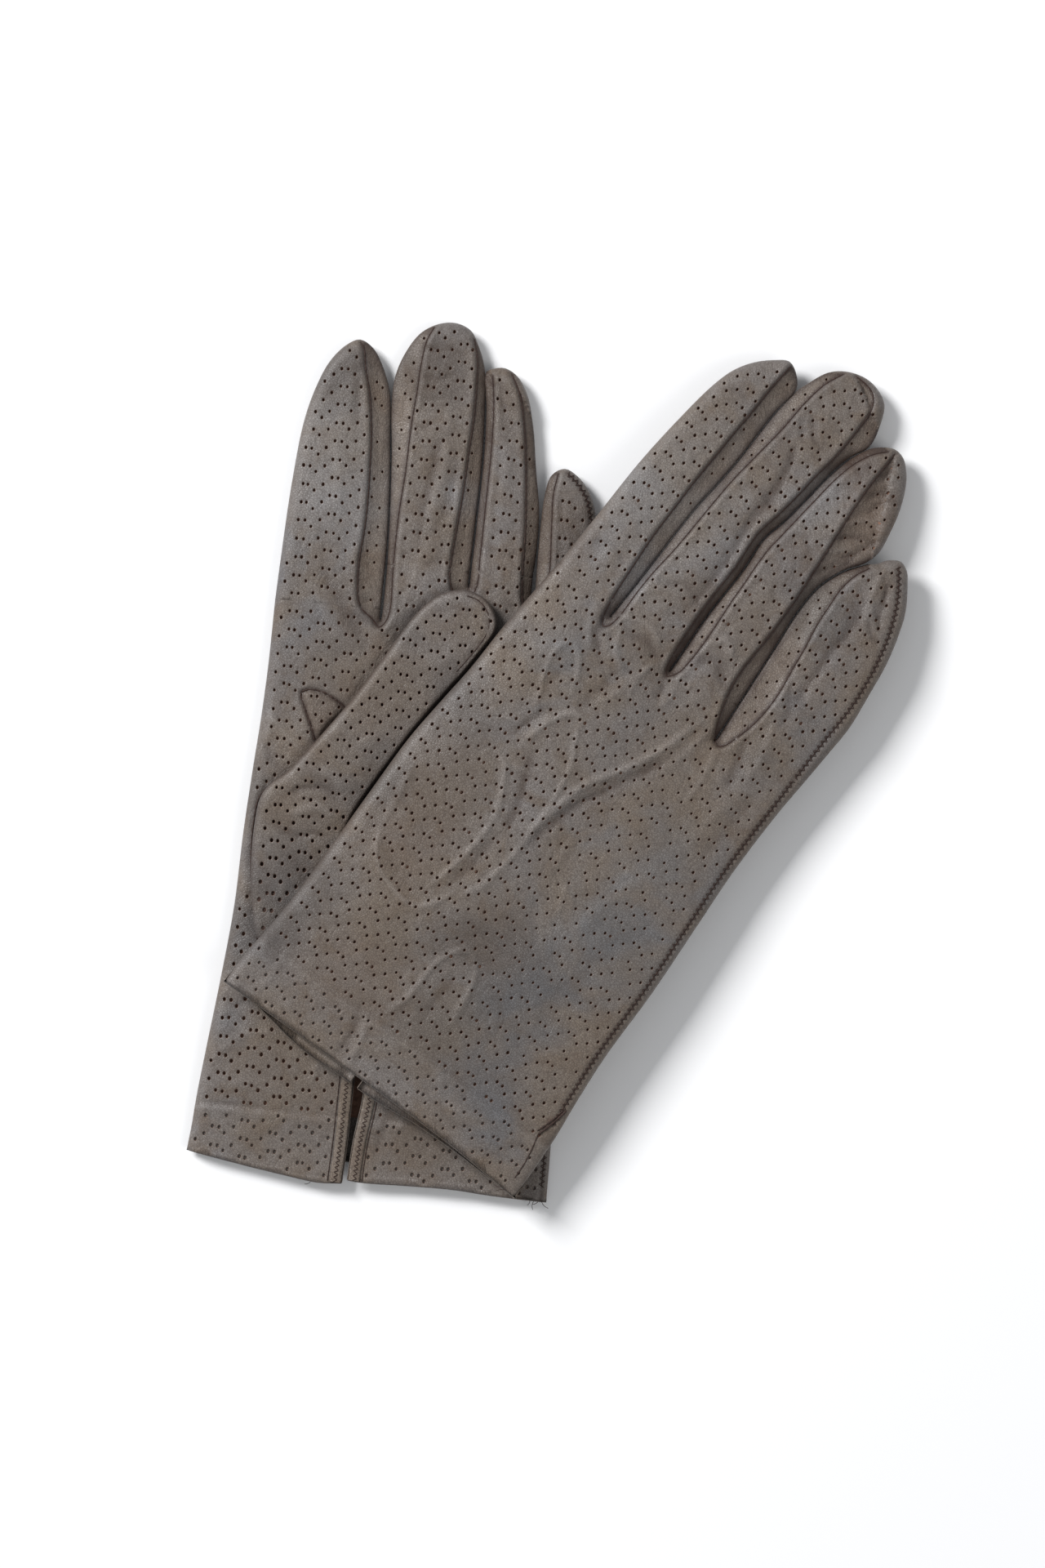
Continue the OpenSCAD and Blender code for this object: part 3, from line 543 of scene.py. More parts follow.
def height(g, side, x, y, root=None):
    """World height of a glove's upper or lower sheet, mm."""
    x = np.asarray(x, float)
    y = np.asarray(y, float)
    pts = np.stack([x, y], 1)
    s = np.maximum(0.0, y - root) if root is not None else np.zeros(len(x))
    d = seg_distance(pts, RIMS[g])
    f = rim_factor(d, 3.4)
    open_ = smooth(y / 34.0)
    half = MIDZ * ((0.66 if g == LEFT else 0.54) * (1 - open_) + open_)
    centre = half if g == LEFT else half + 0.45 * (1 - open_)
    z = base_height(g, x, y, s) + centre
    sgn = 1 if side == "top" else -1
    z = z + sgn * half * f * (0.78 + 0.22 * smooth(d / 15.0))
    sd = seg_distance(pts, SEAMS[g])
    strip = np.zeros(len(x), bool)
    for u in SEAMS[g]:
        strip |= inside(u, pts)
    # the strips between the fingers slope down from their seams
    z = z - sgn * f * np.where(strip, 1.55 * (1 - np.exp(-sd / 1.45)), 0.0)
    shows = side == "top"
    if shows:
        wob = 0.30 * fbm(x, y, 16.0, 3.1 + g * 7) + 0.10 * fbm(x, y, 5.0, 8.7 + g * 5)
        z = z + f * (wob - 0.12) + f * folds(g, side, x, y) * (0.9 if g == LEFT else 1.08)
        # seams sit in a groove with the leather plump beside them
        z = z - f * (0.50 * np.exp(-(sd / 0.40) ** 2) - np.where(strip, 0.0, 0.26) * np.exp(-((sd - 1.15) / 0.65) ** 2))
        ss = seg_distance(pts, SIDE_LINES[g])
        z = z - f * 0.42 * np.exp(-(ss / 0.7) ** 2)
        # turned hem: two layers thick up to a crease
        hem = 1 - smooth((y - HEM_DEPTH + 0.5) / 1.2)
        wave = HEM_DEPTH + 0.35 * np.sin(x / 9.0 + g)
        z = z + 0.30 * hem * f - 0.20 * np.exp(-((y - wave - 0.4) / 0.6) ** 2) * f
        z = z + 0.16 * np.exp(-((y - wave + 1.2) / 0.9) ** 2) * f
        if g == LEFT:
            td = seg_distance(pts, THUMB_RIM[g])
            z = z - 0.25 * np.exp(-(td / 1.2) ** 2) * f
    else:
        wob = 0.16 * fbm(x, y, 18.0, 5.3 + g * 7)
        z = z + f * np.abs(wob) * (0.6 if g == LEFT else 1.0)
        z = z + f * 0.36 * np.exp(-(sd / 0.42) ** 2)
        ss = seg_distance(pts, SIDE_LINES[g])
        z = z + f * 0.30 * np.exp(-(ss / 0.7) ** 2)
        if g == RIGHT:
            # the palm's hem lifts to the back's where it shows below it
            z = z + 1.0 * (1 - smooth((y + 2.6) / 8.0))
        # the turned hem reads on this side too
        z = z + f * 0.30 * np.exp(-((y - HEM_DEPTH - 0.4) / 0.55) ** 2)
    if side == ("top" if g == LEFT else "bottom"):
        # the small quirk at the root of the thumb stands as a pointed pleat
        q = QUIRK_EDGE[g][0]
        lo, hi = q.min(0) - 3, q.max(0) + 3
        k = np.where((x > lo[0]) & (x < hi[0]) & (y > lo[1]) & (y < hi[1]))[0]
        if len(k):
            dq = seg_distance(pts[k], QUIRK_EDGE[g])
            ins = inside(q, pts[k])
            z[k] += sgn * f[k] * np.where(ins, 0.55 * smooth(dq / 1.6) - 0.25, 0.0)
            z[k] -= sgn * f[k] * 0.36 * np.exp(-(dq / 0.5) ** 2)
    return z


def tone(g, side, x, y):
    """How much painted shade darkens the leather in its seams, hollows and finger valleys, and painted highlight
    lightens its ridges, from 0 to 1.
    """
    pts = np.stack([x, y], 1)
    sd = seg_distance(pts, SEAMS[g])
    d = seg_distance(pts, RIMS[g])
    strip = np.zeros(len(x), bool)
    for u in SEAMS[g]:
        strip |= inside(u, pts)
    # painted shade along the seams, over the strips and in the valleys between the fingers
    dark = 0.88 * np.exp(-(sd / 0.50) ** 2) + np.where(strip, 0.34 * np.exp(-(sd / 1.2) ** 2), 0.0)
    dark += np.where(strip, 0.92, 0.14) * np.exp(-(d / 1.10) ** 2) * np.where(strip | (y > 120), 1.0, 0.4)
    dark += 0.50 * np.exp(-(seg_distance(pts, SIDE_LINES[g]) / 0.6) ** 2)
    light = np.zeros(len(x))
    # painted shade along the upper glove's index-side edge and over its strips
    if g == RIGHT:
        dark += 0.52 * np.exp(-(seg_distance(pts, RIMS[g][:1]) / 1.2) ** 2)
        ring = inside(SEAMS[g][2], pts)
        dark += np.where(strip, 0.14, 0.0) + np.where(ring, 0.10, 0.0)
    if side == "top":
        # painted shade in the fold hollows, painted highlight on the fold ridges
        f = folds(g, side, x, y)
        dark += np.clip(-f * 1.2, 0, 0.55)
        light += np.clip(f * 1.1 - 0.05, 0, 0.5)
    if side == ("top" if g == LEFT else "bottom"):
        # painted shade along the quirk and the gusset seam, painted shadow where the thumb lies on the palm
        dq = seg_distance(pts, QUIRK_EDGE[g])
        dark += 0.90 * np.exp(-(dq / 0.6) ** 2) + np.where(inside(QUIRK_EDGE[g][0], pts), 0.24, 0.0)
        gd = seg_distance(pts, GUSSET_SEAM[g])
        dark += 0.70 * np.exp(-(gd / 0.55) ** 2)
        if g == LEFT:
            dark += 0.40 * np.exp(-(seg_distance(pts, THUMB_RIM[g]) / 1.3) ** 2)
    # painted shade along the hem crease and above it, painted highlight on the band below it
    wave = HEM_DEPTH + 0.35 * np.sin(x / 9.0 + g)
    dark += 0.18 * np.exp(-((y - wave - 0.4) / 0.7) ** 2)
    light += (0.07 if g == LEFT else 0.14) * np.exp(-((y - wave + 0.9) / 0.8) ** 2)
    if g == RIGHT:
        dark += 0.09 * np.exp(-((y - wave - 3.2) / 2.6) ** 2)
    return np.clip(dark, 0, 1), np.clip(light, 0, 1)


def thumb_tone(g, side, x, y):
    pts = np.stack([x, y], 1)
    d = seg_distance(pts, THUMB_RIM[g])
    # painted shade along the thumb's edge, in its crease hollows and along its tip seam; painted highlight on its
    # crease ridges
    dark = 0.80 * np.exp(-(d / 0.75) ** 2)
    light = np.zeros(len(x))
    if side == "top" and g == LEFT:
        f = thumb_folds(x, y)
        dark += np.clip(-f * 0.9, 0, 0.5)
        light += np.clip(f * 0.9 - 0.05, 0, 0.4)
        dark += 0.55 * np.exp(-(seg_distance(pts, TIP_SEAM) / 0.45) ** 2)
    return np.clip(dark, 0, 1), np.clip(light, 0, 1)


def thumb_height(g, side, x, y):
    x = np.asarray(x, float)
    y = np.asarray(y, float)
    pts = np.stack([x, y], 1)
    d = seg_distance(pts, THUMB_RIM[g])
    if g == LEFT:
        # the thumb rises out of the palm along its gusset seam and lies on the palm
        base = THUMB_Z - 0.15
        up = smooth((y - 62) / 46.0)
        half = THUMB_T / 2 * (0.35 + 0.65 * up)
        centre = base + THUMB_T / 2 * (0.30 + 0.70 * up)
        # where it goes under the upper glove it doesn't turn down early
        rr = np.where(to_side(g, x, y) > 0, 2.6, 1.0)
        f = rim_factor(d, rr)
    else:
        centre = np.full(len(x), THUMB_Z + THUMB_T / 2)
        half = THUMB_T / 2 * np.ones(len(x))
        f = rim_factor(d, 2.4)
    sgn = 1 if side == "top" else -1
    z = centre + sgn * half * f * 0.97
    if side == "top":
        z = z + f * 0.16 * fbm(x, y, 9.0, 21.0)
        if g == LEFT:
            z = z + f * (thumb_folds(x, y) + 0.12 - 0.30 * np.exp(-(seg_distance(pts, TIP_SEAM) / 0.5) ** 2))
            z = np.minimum(z, RIGHT_Z - 0.12)
    return z


# creases across the root of the folded thumb
THUMB_FOLDS = [([(-30, 99), (-25, 101), (-20, 101), (-16, 98)], -0.55, 1.0), ([(-28, 94), (-22, 96), (-17, 94)], 0.45, 1.2),
               ([(-32, 90), (-27, 88), (-22, 89), (-18, 87)], -0.4, 1.1), ([(-24, 106), (-19, 105), (-15, 102)], 0.45, 1.2),
               ([(-35, 82), (-31, 78), (-28, 72)], 0.3, 1.6), ([(-30, 84), (-25, 80), (-22, 74)], -0.3, 1.4),
               ([(-12, 112), (-9, 116), (-5, 117)], 0.2, 1.6), ([(2, 136), (7, 138), (11, 142)], 0.22, 2.0),
               ([(4, 150), (10, 152), (15, 150)], -0.2, 1.4)]


THUMB_LINES = [([spline(l, 1.5)], h, w) for l, h, w in THUMB_FOLDS]


def thumb_folds(x, y):
    z = np.zeros(len(x))
    pts = np.stack([x, y], 1)
    for lines, h, w in THUMB_LINES:
        d, j = near(pts, lines)
        j = (j + 0.5) / max(1, len(lines[0]) - 1)
        z += h * np.clip(np.minimum(j, 1 - j) * 5 + 0.2, 0, 1) * np.exp(-(d / w) ** 2)
    return z


def to_side(g, x, y):
    """Positive on the side of the lower glove's thumb that stays in view."""
    ax, ay, bx, by = -16.4, 92.6, 17.6, 143.2
    side = (bx - ax) * (y - ay) - (by - ay) * (x - ax)
    return np.where(y < 92, x + 27.0 < 0, side > 9 * 61) * 2.0 - 1.0


# ---------------------------------------------------------------- perforations

PITCH = (np.array([0.0, 4.85]), np.array([7.7, -2.5]))
BASIS = ((0.0, 0.0), (2.1, 1.9), (4.25, -1.05), (5.95, -1.1))


def perforations(poly, clear, pitch=1.0, r=0.46, seed=1, margin=0.75, keep=1.0):
    """Punched holes on the leather's repeating pattern of pairs and singles, one lattice per glove."""
    rnd = random.Random(seed)
    lo, hi = poly.min(0) / pitch, poly.max(0) / pitch
    out = []
    i0, i1 = int(lo[0] / 7.7) - 2, int(hi[0] / 7.7) + 2
    for i in range(i0, i1 + 1):
        j0 = int((lo[1] + 2.5 * i) / 4.85) - 3
        j1 = int((hi[1] + 2.5 * i) / 4.85) + 3
        for j in range(j0, j1 + 1):
            for bx, by in BASIS:
                x = (7.7 * i + bx) * pitch + rnd.gauss(0, 0.09)
                y = (4.85 * j - 2.5 * i + by) * pitch + rnd.gauss(0, 0.09)
                rr = r * (1 + max(-0.15, min(0.15, rnd.gauss(0, 0.06))))
                if rnd.random() < keep:
                    out.append((x, y, rr))
    h = np.array(out)
    h = h[inside(poly, h[:, :2])]
    if len(h):
        h = h[seg_distance(h[:, :2], clear) > margin]
    return h


# ---------------------------------------------------------------- building sheets

LIN = 0.55
OCT = [(0.92 * math.cos(math.pi * k / 4 + 0.39), 1.14 * math.sin(math.pi * k / 4 + 0.39)) for k in range(8)]   # a little oval
LEATHER, STRIP, CUT, INNER, QUIRK_M = range(5)


class Shell:
    """Faces of a piece gathered from several sheets; corners at the same place are joined."""

    def __init__(self):
        self.v, self.f, self.m, self.t = [], [], [], []

    def add(self, verts, faces, mats, tones=None):
        n = len(self.v)
        self.t.extend(tones if tones is not None else [(0.0, 0.0)] * len(verts))
        self.v.extend(verts)
        self.f.extend(tuple(i + n for i in f) for f in faces)
        self.m.extend(mats)


def clean_points(pts, keep_away, gap):
    """Free points at least gap away from all points kept before them."""
    cell = gap
    used = {}
    for p in keep_away:
        used.setdefault((int(p[0] // cell), int(p[1] // cell)), []).append(p)
    out = []
    for p in pts:
        cx, cy = int(p[0] // cell), int(p[1] // cell)
        ok = True
        for i in (-1, 0, 1):
            for j in (-1, 0, 1):
                for q in used.get((cx + i, cy + j), ()):
                    if (q[0] - p[0]) ** 2 + (q[1] - p[1]) ** 2 < gap * gap:
                        ok = False
                        break
                if not ok:
                    break
            if not ok:
                break
        if ok:
            used.setdefault((cx, cy), []).append(p)
            out.append(p)
    return out


def offsets(lines, dists, both=False):
    out = []
    for line in lines:
        t = np.gradient(line, axis=0)
        t /= np.maximum(1e-9, np.hypot(t[:, 0], t[:, 1]))[:, None]
        n = np.stack([-t[:, 1], t[:, 0]], 1)
        for d in dists:
            out.append(line + n * d)
            out.append(line - n * d)
    return out


def build_sheet(shell, loop, rims, seams, holes, zfun, sgn, kind, grid=2.0, lining=True, rolls=(), creases=(),
                shades=None):
    """One sheet of leather: its outline, holes and surface, with a plain inner face behind it."""
    loop = np.asarray(loop)
    pts = [tuple(p) for p in loop]
    n = len(pts)
    edges = [(i, (i + 1) % n) for i in range(n)]
    # holes
    hole_of = {}
    for h, (hx, hy, r) in enumerate(holes):
        base = len(pts)
        for k, (c, s_) in enumerate(OCT):
            hole_of[len(pts)] = (h, k)
            pts.append((hx + c * (r + 0.26), hy + s_ * (r + 0.26)))
        edges += [(base + k, base + (k + 1) % 8) for k in range(8)]
    fixed = list(pts)
    hole_xy = [(h[0], h[1]) for h in holes]
    # seam lines inside the outline
    seam_pts = []
    for line in seams:
        k = inside(loop, line) & (seg_distance(line, rims) > 0.35)
        seam_pts += [tuple(p) for p in line[k]]
    rim_off = []
    for d in (0.16, 0.45, 0.9, 1.6, 2.5):
        for line in offsets(rims, [d]):
            k = inside(loop, line)
            line = line[k]
            if len(line):
                line = line[seg_distance(line, rims) > 0.94 * d]
                rim_off += [(d, tuple(p)) for p in line]
    seam_off = []
    for d in (0.4, 0.85, 1.6):
        for line in offsets(seams, [d]) if len(seams) else []:
            k = inside(loop, line)
            line = line[k]
            if len(line):
                line = line[(seg_distance(line, rims) > 0.3)]
            if len(line):
                line = line[(seg_distance(line, seams) > 0.92 * d)]
                seam_off += [tuple(p) for p in line]
    lo, hi = loop.min(0), loop.max(0)
    gx = np.arange(lo[0], hi[0], grid)
    gy = np.arange(lo[1], hi[1], grid * 0.87)
    gp = np.array([(x + (j % 2) * grid / 2, y) for j, y in enumerate(gy) for x in gx])
    gp = gp[inside(loop, gp)]
    if len(gp):
        gp = gp[seg_distance(gp, rims) > 2.9]
    free = []
    around = list(hole_xy)
    s1 = clean_points(seam_pts, [], 0.3)
    f1 = clean_points([p for d, p in rim_off if d < 0.3], [], 0.5)
    f2 = clean_points([p for d, p in rim_off if d >= 0.3], s1, 0.33)
    f3 = clean_points(seam_off, s1 + f1 + f2, 0.3)
    f4 = []
    for line in (offsets(creases, [0.0, 0.6, 1.25, 2.0]) if len(creases) else []):
        k = inside(loop, line)
        line = line[k]
        if len(line):
            f4 += [tuple(p) for p in line[seg_distance(line, rims) > 1.2]]
    f4 = clean_points(f4, s1 + f2 + f3, 0.5)
    free = s1 + f1 + f2 + f3 + f4
    loop_pts = [tuple(p) for p in loop]
    free = clean_points(free, loop_pts, 0.14)
    if len(holes):
        ht = kdtree.KDTree(len(holes))
        for i, h in enumerate(holes):
            ht.insert((h[0], h[1], 0.0), i)
        ht.balance()
        free = [p for p in free if ht.find((p[0], p[1], 0.0))[2] > 0.86]
        g2 = [tuple(p) for p in gp if ht.find((p[0], p[1], 0.0))[2] > 1.15]
    else:
        g2 = [tuple(p) for p in gp]
    g2 = clean_points(g2, free + loop_pts, 1.0)
    free += g2
    allp = [Vector(p) for p in pts + free]
    co, ed, fa, ov, oe, of_ = geometry.delaunay_2d_cdt(allp, edges, [], 0, 1e-5)
    co = np.array([(c[0], c[1]) for c in co])
    tri = np.array([f for f in fa if len(f) == 3])
    orig = [o[0] if len(o) else -1 for o in ov]
    hid = np.array([hole_of[o][0] if o in hole_of else -1 - i for i, o in enumerate(orig)])
    keep = ~((hid[tri[:, 0]] == hid[tri[:, 1]]) & (hid[tri[:, 1]] == hid[tri[:, 2]]))
    cen = co[tri].mean(1)
    keep &= inside(loop, cen)
    tri = tri[keep]
    cen = cen[keep]
    z = zfun(co[:, 0], co[:, 1])
    mats = kind(cen)
    if sgn < 0:
        tri = tri[:, ::-1]
    verts = [(co[i, 0], co[i, 1], z[i]) for i in range(len(co))]
    faces = [tuple(t) for t in tri]
    mats = list(mats)
    # make sure the winding faces outwards
    a, b, c = co[tri[:, 0]], co[tri[:, 1]], co[tri[:, 2]]
    cr = (b[:, 0] - a[:, 0]) * (c[:, 1] - a[:, 1]) - (b[:, 1] - a[:, 1]) * (c[:, 0] - a[:, 0])
    faces = [f if cr[i] * sgn > 0 else f[::-1] for i, f in enumerate(faces)]
    # painted shade and painted highlight strengths at each vertex
    tn = shades(co[:, 0], co[:, 1]) if shades else (np.zeros(len(co)), np.zeros(len(co)))
    tones = [(float(tn[0][i]), float(tn[1][i])) for i in range(len(co))]
    # punched edges
    ring = {}
    for i, o in enumerate(orig):
        if o in hole_of:
            ring.setdefault(hole_of[o][0], {})[hole_of[o][1]] = i
    hk = kind(np.array(hole_xy)) if len(holes) else []
    for h, idx in ring.items():
        if len(idx) < 8:
            continue
        hx, hy, r = holes[h]
        r0 = [idx[k] for k in range(8)]
        zc = float(np.mean([z[i] for i in r0]))
        rings = [r0]
        for rad, dz in ((r + 0.05, 0.035), (r - 0.04, 0.20)):
            st = len(verts)
            for k, (c_, s_) in enumerate(OCT):
                zz = z[r0[k]] * 0.7 + zc * 0.3
                verts.append((hx + c_ * rad, hy + s_ * rad, zz - sgn * dz))
            rings.append([st + k for k in range(8)])
            tones += [tones[r0[k]] for k in range(8)]
        for q in range(2):
            A, B = rings[q], rings[q + 1]
            for k in range(8):
                f = (A[k], A[(k + 1) % 8], B[(k + 1) % 8], B[k])
                faces.append(f if sgn > 0 else f[::-1])
                mats.append(hk[h] if q == 0 else CUT)
    shell.add(verts, faces, mats, tones)
    if lining:
        lp = [tuple(p) for p in loop if seg_distance(np.array([p]), rims)[0] > 1.15]
        l2 = []
        for line in offsets(rims, [1.2]):
            k = inside(loop, line)
            line = line[k]
            if len(line):
                l2 += [tuple(p) for p in line[seg_distance(line, rims) > 1.15]]
        l2 = clean_points(l2, lp, 0.8)
        l3 = clean_points([tuple(p) for p in gp], lp + l2, 1.4)
        ap = lp + l2 + l3
        if len(ap) > 8:
            co2, ed, fa, ov, oe, of_ = geometry.delaunay_2d_cdt([Vector(p) for p in ap], [], [], 0, 1e-5)
            co2 = np.array([(c[0], c[1]) for c in co2])
            t2 = np.array([f for f in fa if len(f) == 3])
            c2 = co2[t2].mean(1)
            k = inside(loop, c2) & (seg_distance(c2, rims) > 1.05)
            t2 = t2[k]
            c2 = c2[k]
            deeper = smooth((co2[:, 1] - HEM_DEPTH) / 4.0) if len(rolls) else 1.0
            z2 = zfun(co2[:, 0], co2[:, 1]) - sgn * (LIN + 0.45 * deeper)
            shell.add([(co2[i, 0], co2[i, 1], z2[i]) for i in range(len(co2))], [tuple(t) for t in t2],
                      [LEATHER if len(rolls) and cy < HEM_DEPTH else INNER for cy in c2[:, 1]])
    # rolled free edges
    for line in rolls:
        line = np.asarray(line)
        t = np.gradient(line, axis=0)
        t /= np.maximum(1e-9, np.hypot(t[:, 0], t[:, 1]))[:, None]
        nrm = np.stack([-t[:, 1], t[:, 0]], 1)
        probe = line + nrm * 0.3
        flip = np.where(inside(loop, probe), -1.0, 1.0)
        if np.mean(flip) > 0:
            flip[:] = 1
        else:
            flip[:] = -1
        nrm = nrm * flip[:, None]
        zl = zfun(line[:, 0], line[:, 1])
        st = []
        verts = []
        Kr = 6
        for q in range(Kr):
            tt = math.pi * q / (Kr - 1)
            for i in range(len(line)):
                verts.append((line[i, 0] + nrm[i, 0] * 0.26 * math.sin(tt), line[i, 1] + nrm[i, 1] * 0.26 * math.sin(tt),
                              zl[i] - sgn * LIN * (1 - math.cos(tt)) / 2))
        L = len(line)
        faces = []
        for q in range(Kr - 1):
            for i in range(L - 1):
                f = (q * L + i, q * L + i + 1, (q + 1) * L + i + 1, (q + 1) * L + i)
                faces.append(f if flip[0] * sgn < 0 else f[::-1])
        shell.add(verts, faces, [LEATHER] * len(faces))


def tube(line3, r, sides=6, wave=None, closed=False):
    """A thread along a line of points."""
    p = np.asarray(line3, float)
    n = len(p)
    t = np.gradient(p, axis=0)
    t /= np.maximum(1e-9, np.sqrt((t ** 2).sum(1)))[:, None]
    up = np.array([0.0, 0.0, 1.0])
    verts, faces = [], []
    run = np.concatenate([[0], np.cumsum(np.sqrt(((p[1:] - p[:-1]) ** 2).sum(1)))])
    for i in range(n):
        a = np.cross(t[i], up)
        a /= max(1e-9, np.linalg.norm(a))
        b = np.cross(a, t[i])
        rr = r * (wave(run[i]) if wave else 1.0)
        if i in (0, n - 1):
            rr *= 0.4
        for k in range(sides):
            w = 2 * math.pi * k / sides
            verts.append(tuple(p[i] + a * rr * math.cos(w) + b * rr * math.sin(w)))
    for i in range(n - 1):
        for k in range(sides):
            k2 = (k + 1) % sides
            faces.append((i * sides + k, i * sides + k2, (i + 1) * sides + k2, (i + 1) * sides + k))
    faces.append(tuple(range(sides))[::-1])
    faces.append(tuple((n - 1) * sides + k for k in range(sides)))
    return verts, faces


def emit(name, g, verts, faces, mats, materials, local=True, merge=True, tones=None):
    """A mesh object in world space from mm in a glove's own frame."""
    used = sorted({i for f in faces for i in f})
    remap = {o: k for k, o in enumerate(used)}
    v, u = axes(g)
    co = []
    for i in used:
        x, y, z = verts[i]
        if local:
            wx, wy = to_world(g, x, y)
        else:
            wx, wy = x, y
        co.append((wx * MM, wy * MM, z * MM))
    me = bpy.data.meshes.new(name)
    me.from_pydata(co, [], [tuple(remap[i] for i in f) for f in faces])
    slots = sorted(set(mats))
    for s_ in slots:
        me.materials.append(materials[s_])
    idx = {s_: k for k, s_ in enumerate(slots)}
    me.polygons.foreach_set("material_index", [idx[m] for m in mats])
    me.polygons.foreach_set("use_smooth", [True] * len(me.polygons))
    me.update()
    # per-vertex strengths of painted shade and painted highlight
    if tones is not None:
        for k, nm in enumerate(("shade", "painted_highlight")):
            at = me.attributes.new(nm, "FLOAT", "POINT")
            at.data.foreach_set("value", [tones[i][k] for i in used])
    if merge:
        bm = bmesh.new()
        bm.from_mesh(me)
        bmesh.ops.remove_doubles(bm, verts=bm.verts, dist=2e-5)
        loose = [q for q in bm.verts if not q.link_faces]
        bmesh.ops.delete(bm, geom=loose, context="VERTS")
        bm.to_mesh(me)
        bm.free()
    o = bpy.data.objects.new(name, me)
    bpy.context.scene.collection.objects.link(o)
    return o


# ---------------------------------------------------------------- materials

def rgb(r, g, b):
    def lin(c):
        c /= 255.0
        return c / 12.92 if c <= 0.04045 else ((c + 0.055) / 1.055) ** 2.4
    return (lin(r), lin(g), lin(b), 1.0)


def node(nt, kind, **values):
    n = nt.nodes.new(kind)
    for k, v in values.items():
        if hasattr(n, k):
            setattr(n, k, v)
        else:
            n.inputs[k.replace("_", " ")].default_value = v
    return n


def mix_colour(nt, fac, a, b, blend="MIX"):
    m = nt.nodes.new("ShaderNodeMix")
    m.data_type = "RGBA"
    m.blend_type = blend
    for sock, val in ((m.inputs[0], fac), (m.inputs[6], a), (m.inputs[7], b)):
        if isinstance(val, bpy.types.NodeSocket):
            nt.links.new(val, sock)
        else:
            sock.default_value = val
    return m.outputs[2]


def ramp(nt, src, lo, hi, out_lo=0.0, out_hi=1.0):
    m = nt.nodes.new("ShaderNodeMapRange")
    nt.links.new(src, m.inputs[0])
    for i, v in ((1, lo), (2, hi), (3, out_lo), (4, out_hi)):
        m.inputs[i].default_value = v
    return m.outputs[0]


def noise_tex(nt, vec, scale, detail=4.0, rough=0.55, distort=0.0):
    n = nt.nodes.new("ShaderNodeTexNoise")
    nt.links.new(vec, n.inputs["Vector"])
    n.inputs["Scale"].default_value = scale
    n.inputs["Detail"].default_value = detail
    n.inputs["Roughness"].default_value = rough
    n.inputs["Distortion"].default_value = distort
    return n.outputs[0]


def math_node(nt, op, a, b):
    m = nt.nodes.new("ShaderNodeMath")
    m.operation = op
    for sock, val in ((m.inputs[0], a), (m.inputs[1], b)):
        if isinstance(val, bpy.types.NodeSocket):
            nt.links.new(val, sock)
        else:
            sock.default_value = val
    return m.outputs[0]


# centre x, y and reach in mm, colour and strength of each patch: partly uneven dye, partly painted shade and painted
# light
BLOBS = [(-4.0, -61.0, 21.0, rgb(67, 71, 76), 0.56), (17.0, -46.0, 23.0, rgb(86, 92, 98), 0.52),
         (33.0, -27.0, 21.0, rgb(93, 99, 106), 0.50), (57.0, 3.0, 11.0, rgb(70, 71, 74), 0.32),
         (-37.0, -22.0, 20.0, rgb(100, 82, 64), 0.42), (-50.0, -54.0, 19.0, rgb(98, 80, 62), 0.40),
         (-28.0, -70.0, 16.0, rgb(78, 68, 57), 0.48), (-76.0, -74.0, 17.0, rgb(98, 80, 60), 0.30),
         (-58.0, -90.0, 11.0, rgb(100, 82, 62), 0.38), (-26.0, -4.0, 16.0, rgb(97, 82, 65), 0.46),
         (87.0, 64.0, 11.0, rgb(100, 78, 60), 0.28),
         (1.0, -94.8, 3.4, rgb(78, 50, 34), 0.85), (4.6, -90.2, 2.4, rgb(82, 54, 38), 0.7),
         (-40.0, 16.0, 34.0, rgb(84, 75, 69), 0.30), (-64.0, 30.0, 22.0, rgb(86, 80, 76), 0.26),
         (31.0, 74.0, 30.0, rgb(142, 143, 144), 0.26), (-55.0, 84.0, 30.0, rgb(146, 144, 142), 0.20),
         (83.0, 79.0, 7.0, rgb(70, 52, 42), 0.36), (66.0, 52.0, 9.0, rgb(76, 64, 58), 0.22),
         (-58.0, -10.0, 16.0, rgb(78, 69, 62), 0.34),
         (-50.0, 68.0, 13.0, rgb(142, 143, 146), 0.20), (-46.0, 106.0, 9.0, rgb(76, 72, 70), 0.38),
         (58.0, 86.0, 12.0, rgb(86, 81, 80), 0.20), (-14.0, -84.0, 14.0, rgb(70, 74, 80), 0.42),
         (-13.0, -98.0, 10.0, rgb(82, 88, 95), 0.46),
         (6.0, 31.0, 18.0, rgb(108, 114, 121), 0.50), (22.0, 49.0, 13.0, rgb(142, 145, 149), 0.30),
         (-70.0, 49.0, 16.0, rgb(100, 106, 114), 0.46), (-84.0, -68.0, 11.0, rgb(92, 97, 104), 0.42),
         (67.0, 8.0, 12.0, rgb(95, 101, 108), 0.42), (-12.0, -46.0, 13.0, rgb(90, 75, 60), 0.44),
         (-25.0, -46.0, 10.0, rgb(78, 68, 59), 0.36), (-34.0, -101.0, 13.0, rgb(95, 78, 59), 0.46),
         (3.0, 63.0, 12.0, rgb(80, 67, 56), 0.58), (-57.0, 103.0, 12.0, rgb(74, 69, 66), 0.56),
         (-32.0, 103.0, 13.0, rgb(74, 63, 54), 0.58), (-65.0, -32.0, 17.0, rgb(69, 62, 57), 0.50),
         (-45.0, -4.0, 12.0, rgb(70, 65, 61), 0.44), (-24.0, 18.0, 11.0, rgb(72, 67, 63), 0.42),
         (-8.5, 35.0, 9.0, rgb(72, 67, 64), 0.36), (-39.0, 37.0, 9.0, rgb(72, 67, 63), 0.40),
         (-79.0, -8.0, 14.0, rgb(72, 69, 67), 0.42), (-83.0, -42.0, 15.0, rgb(70, 67, 66), 0.46),
         (71.0, 38.0, 10.0, rgb(75, 69, 64), 0.46), (71.0, 70.0, 11.0, rgb(142, 143, 145), 0.20),
         (-25.0, 72.0, 12.0, rgb(140, 143, 148), 0.32)]


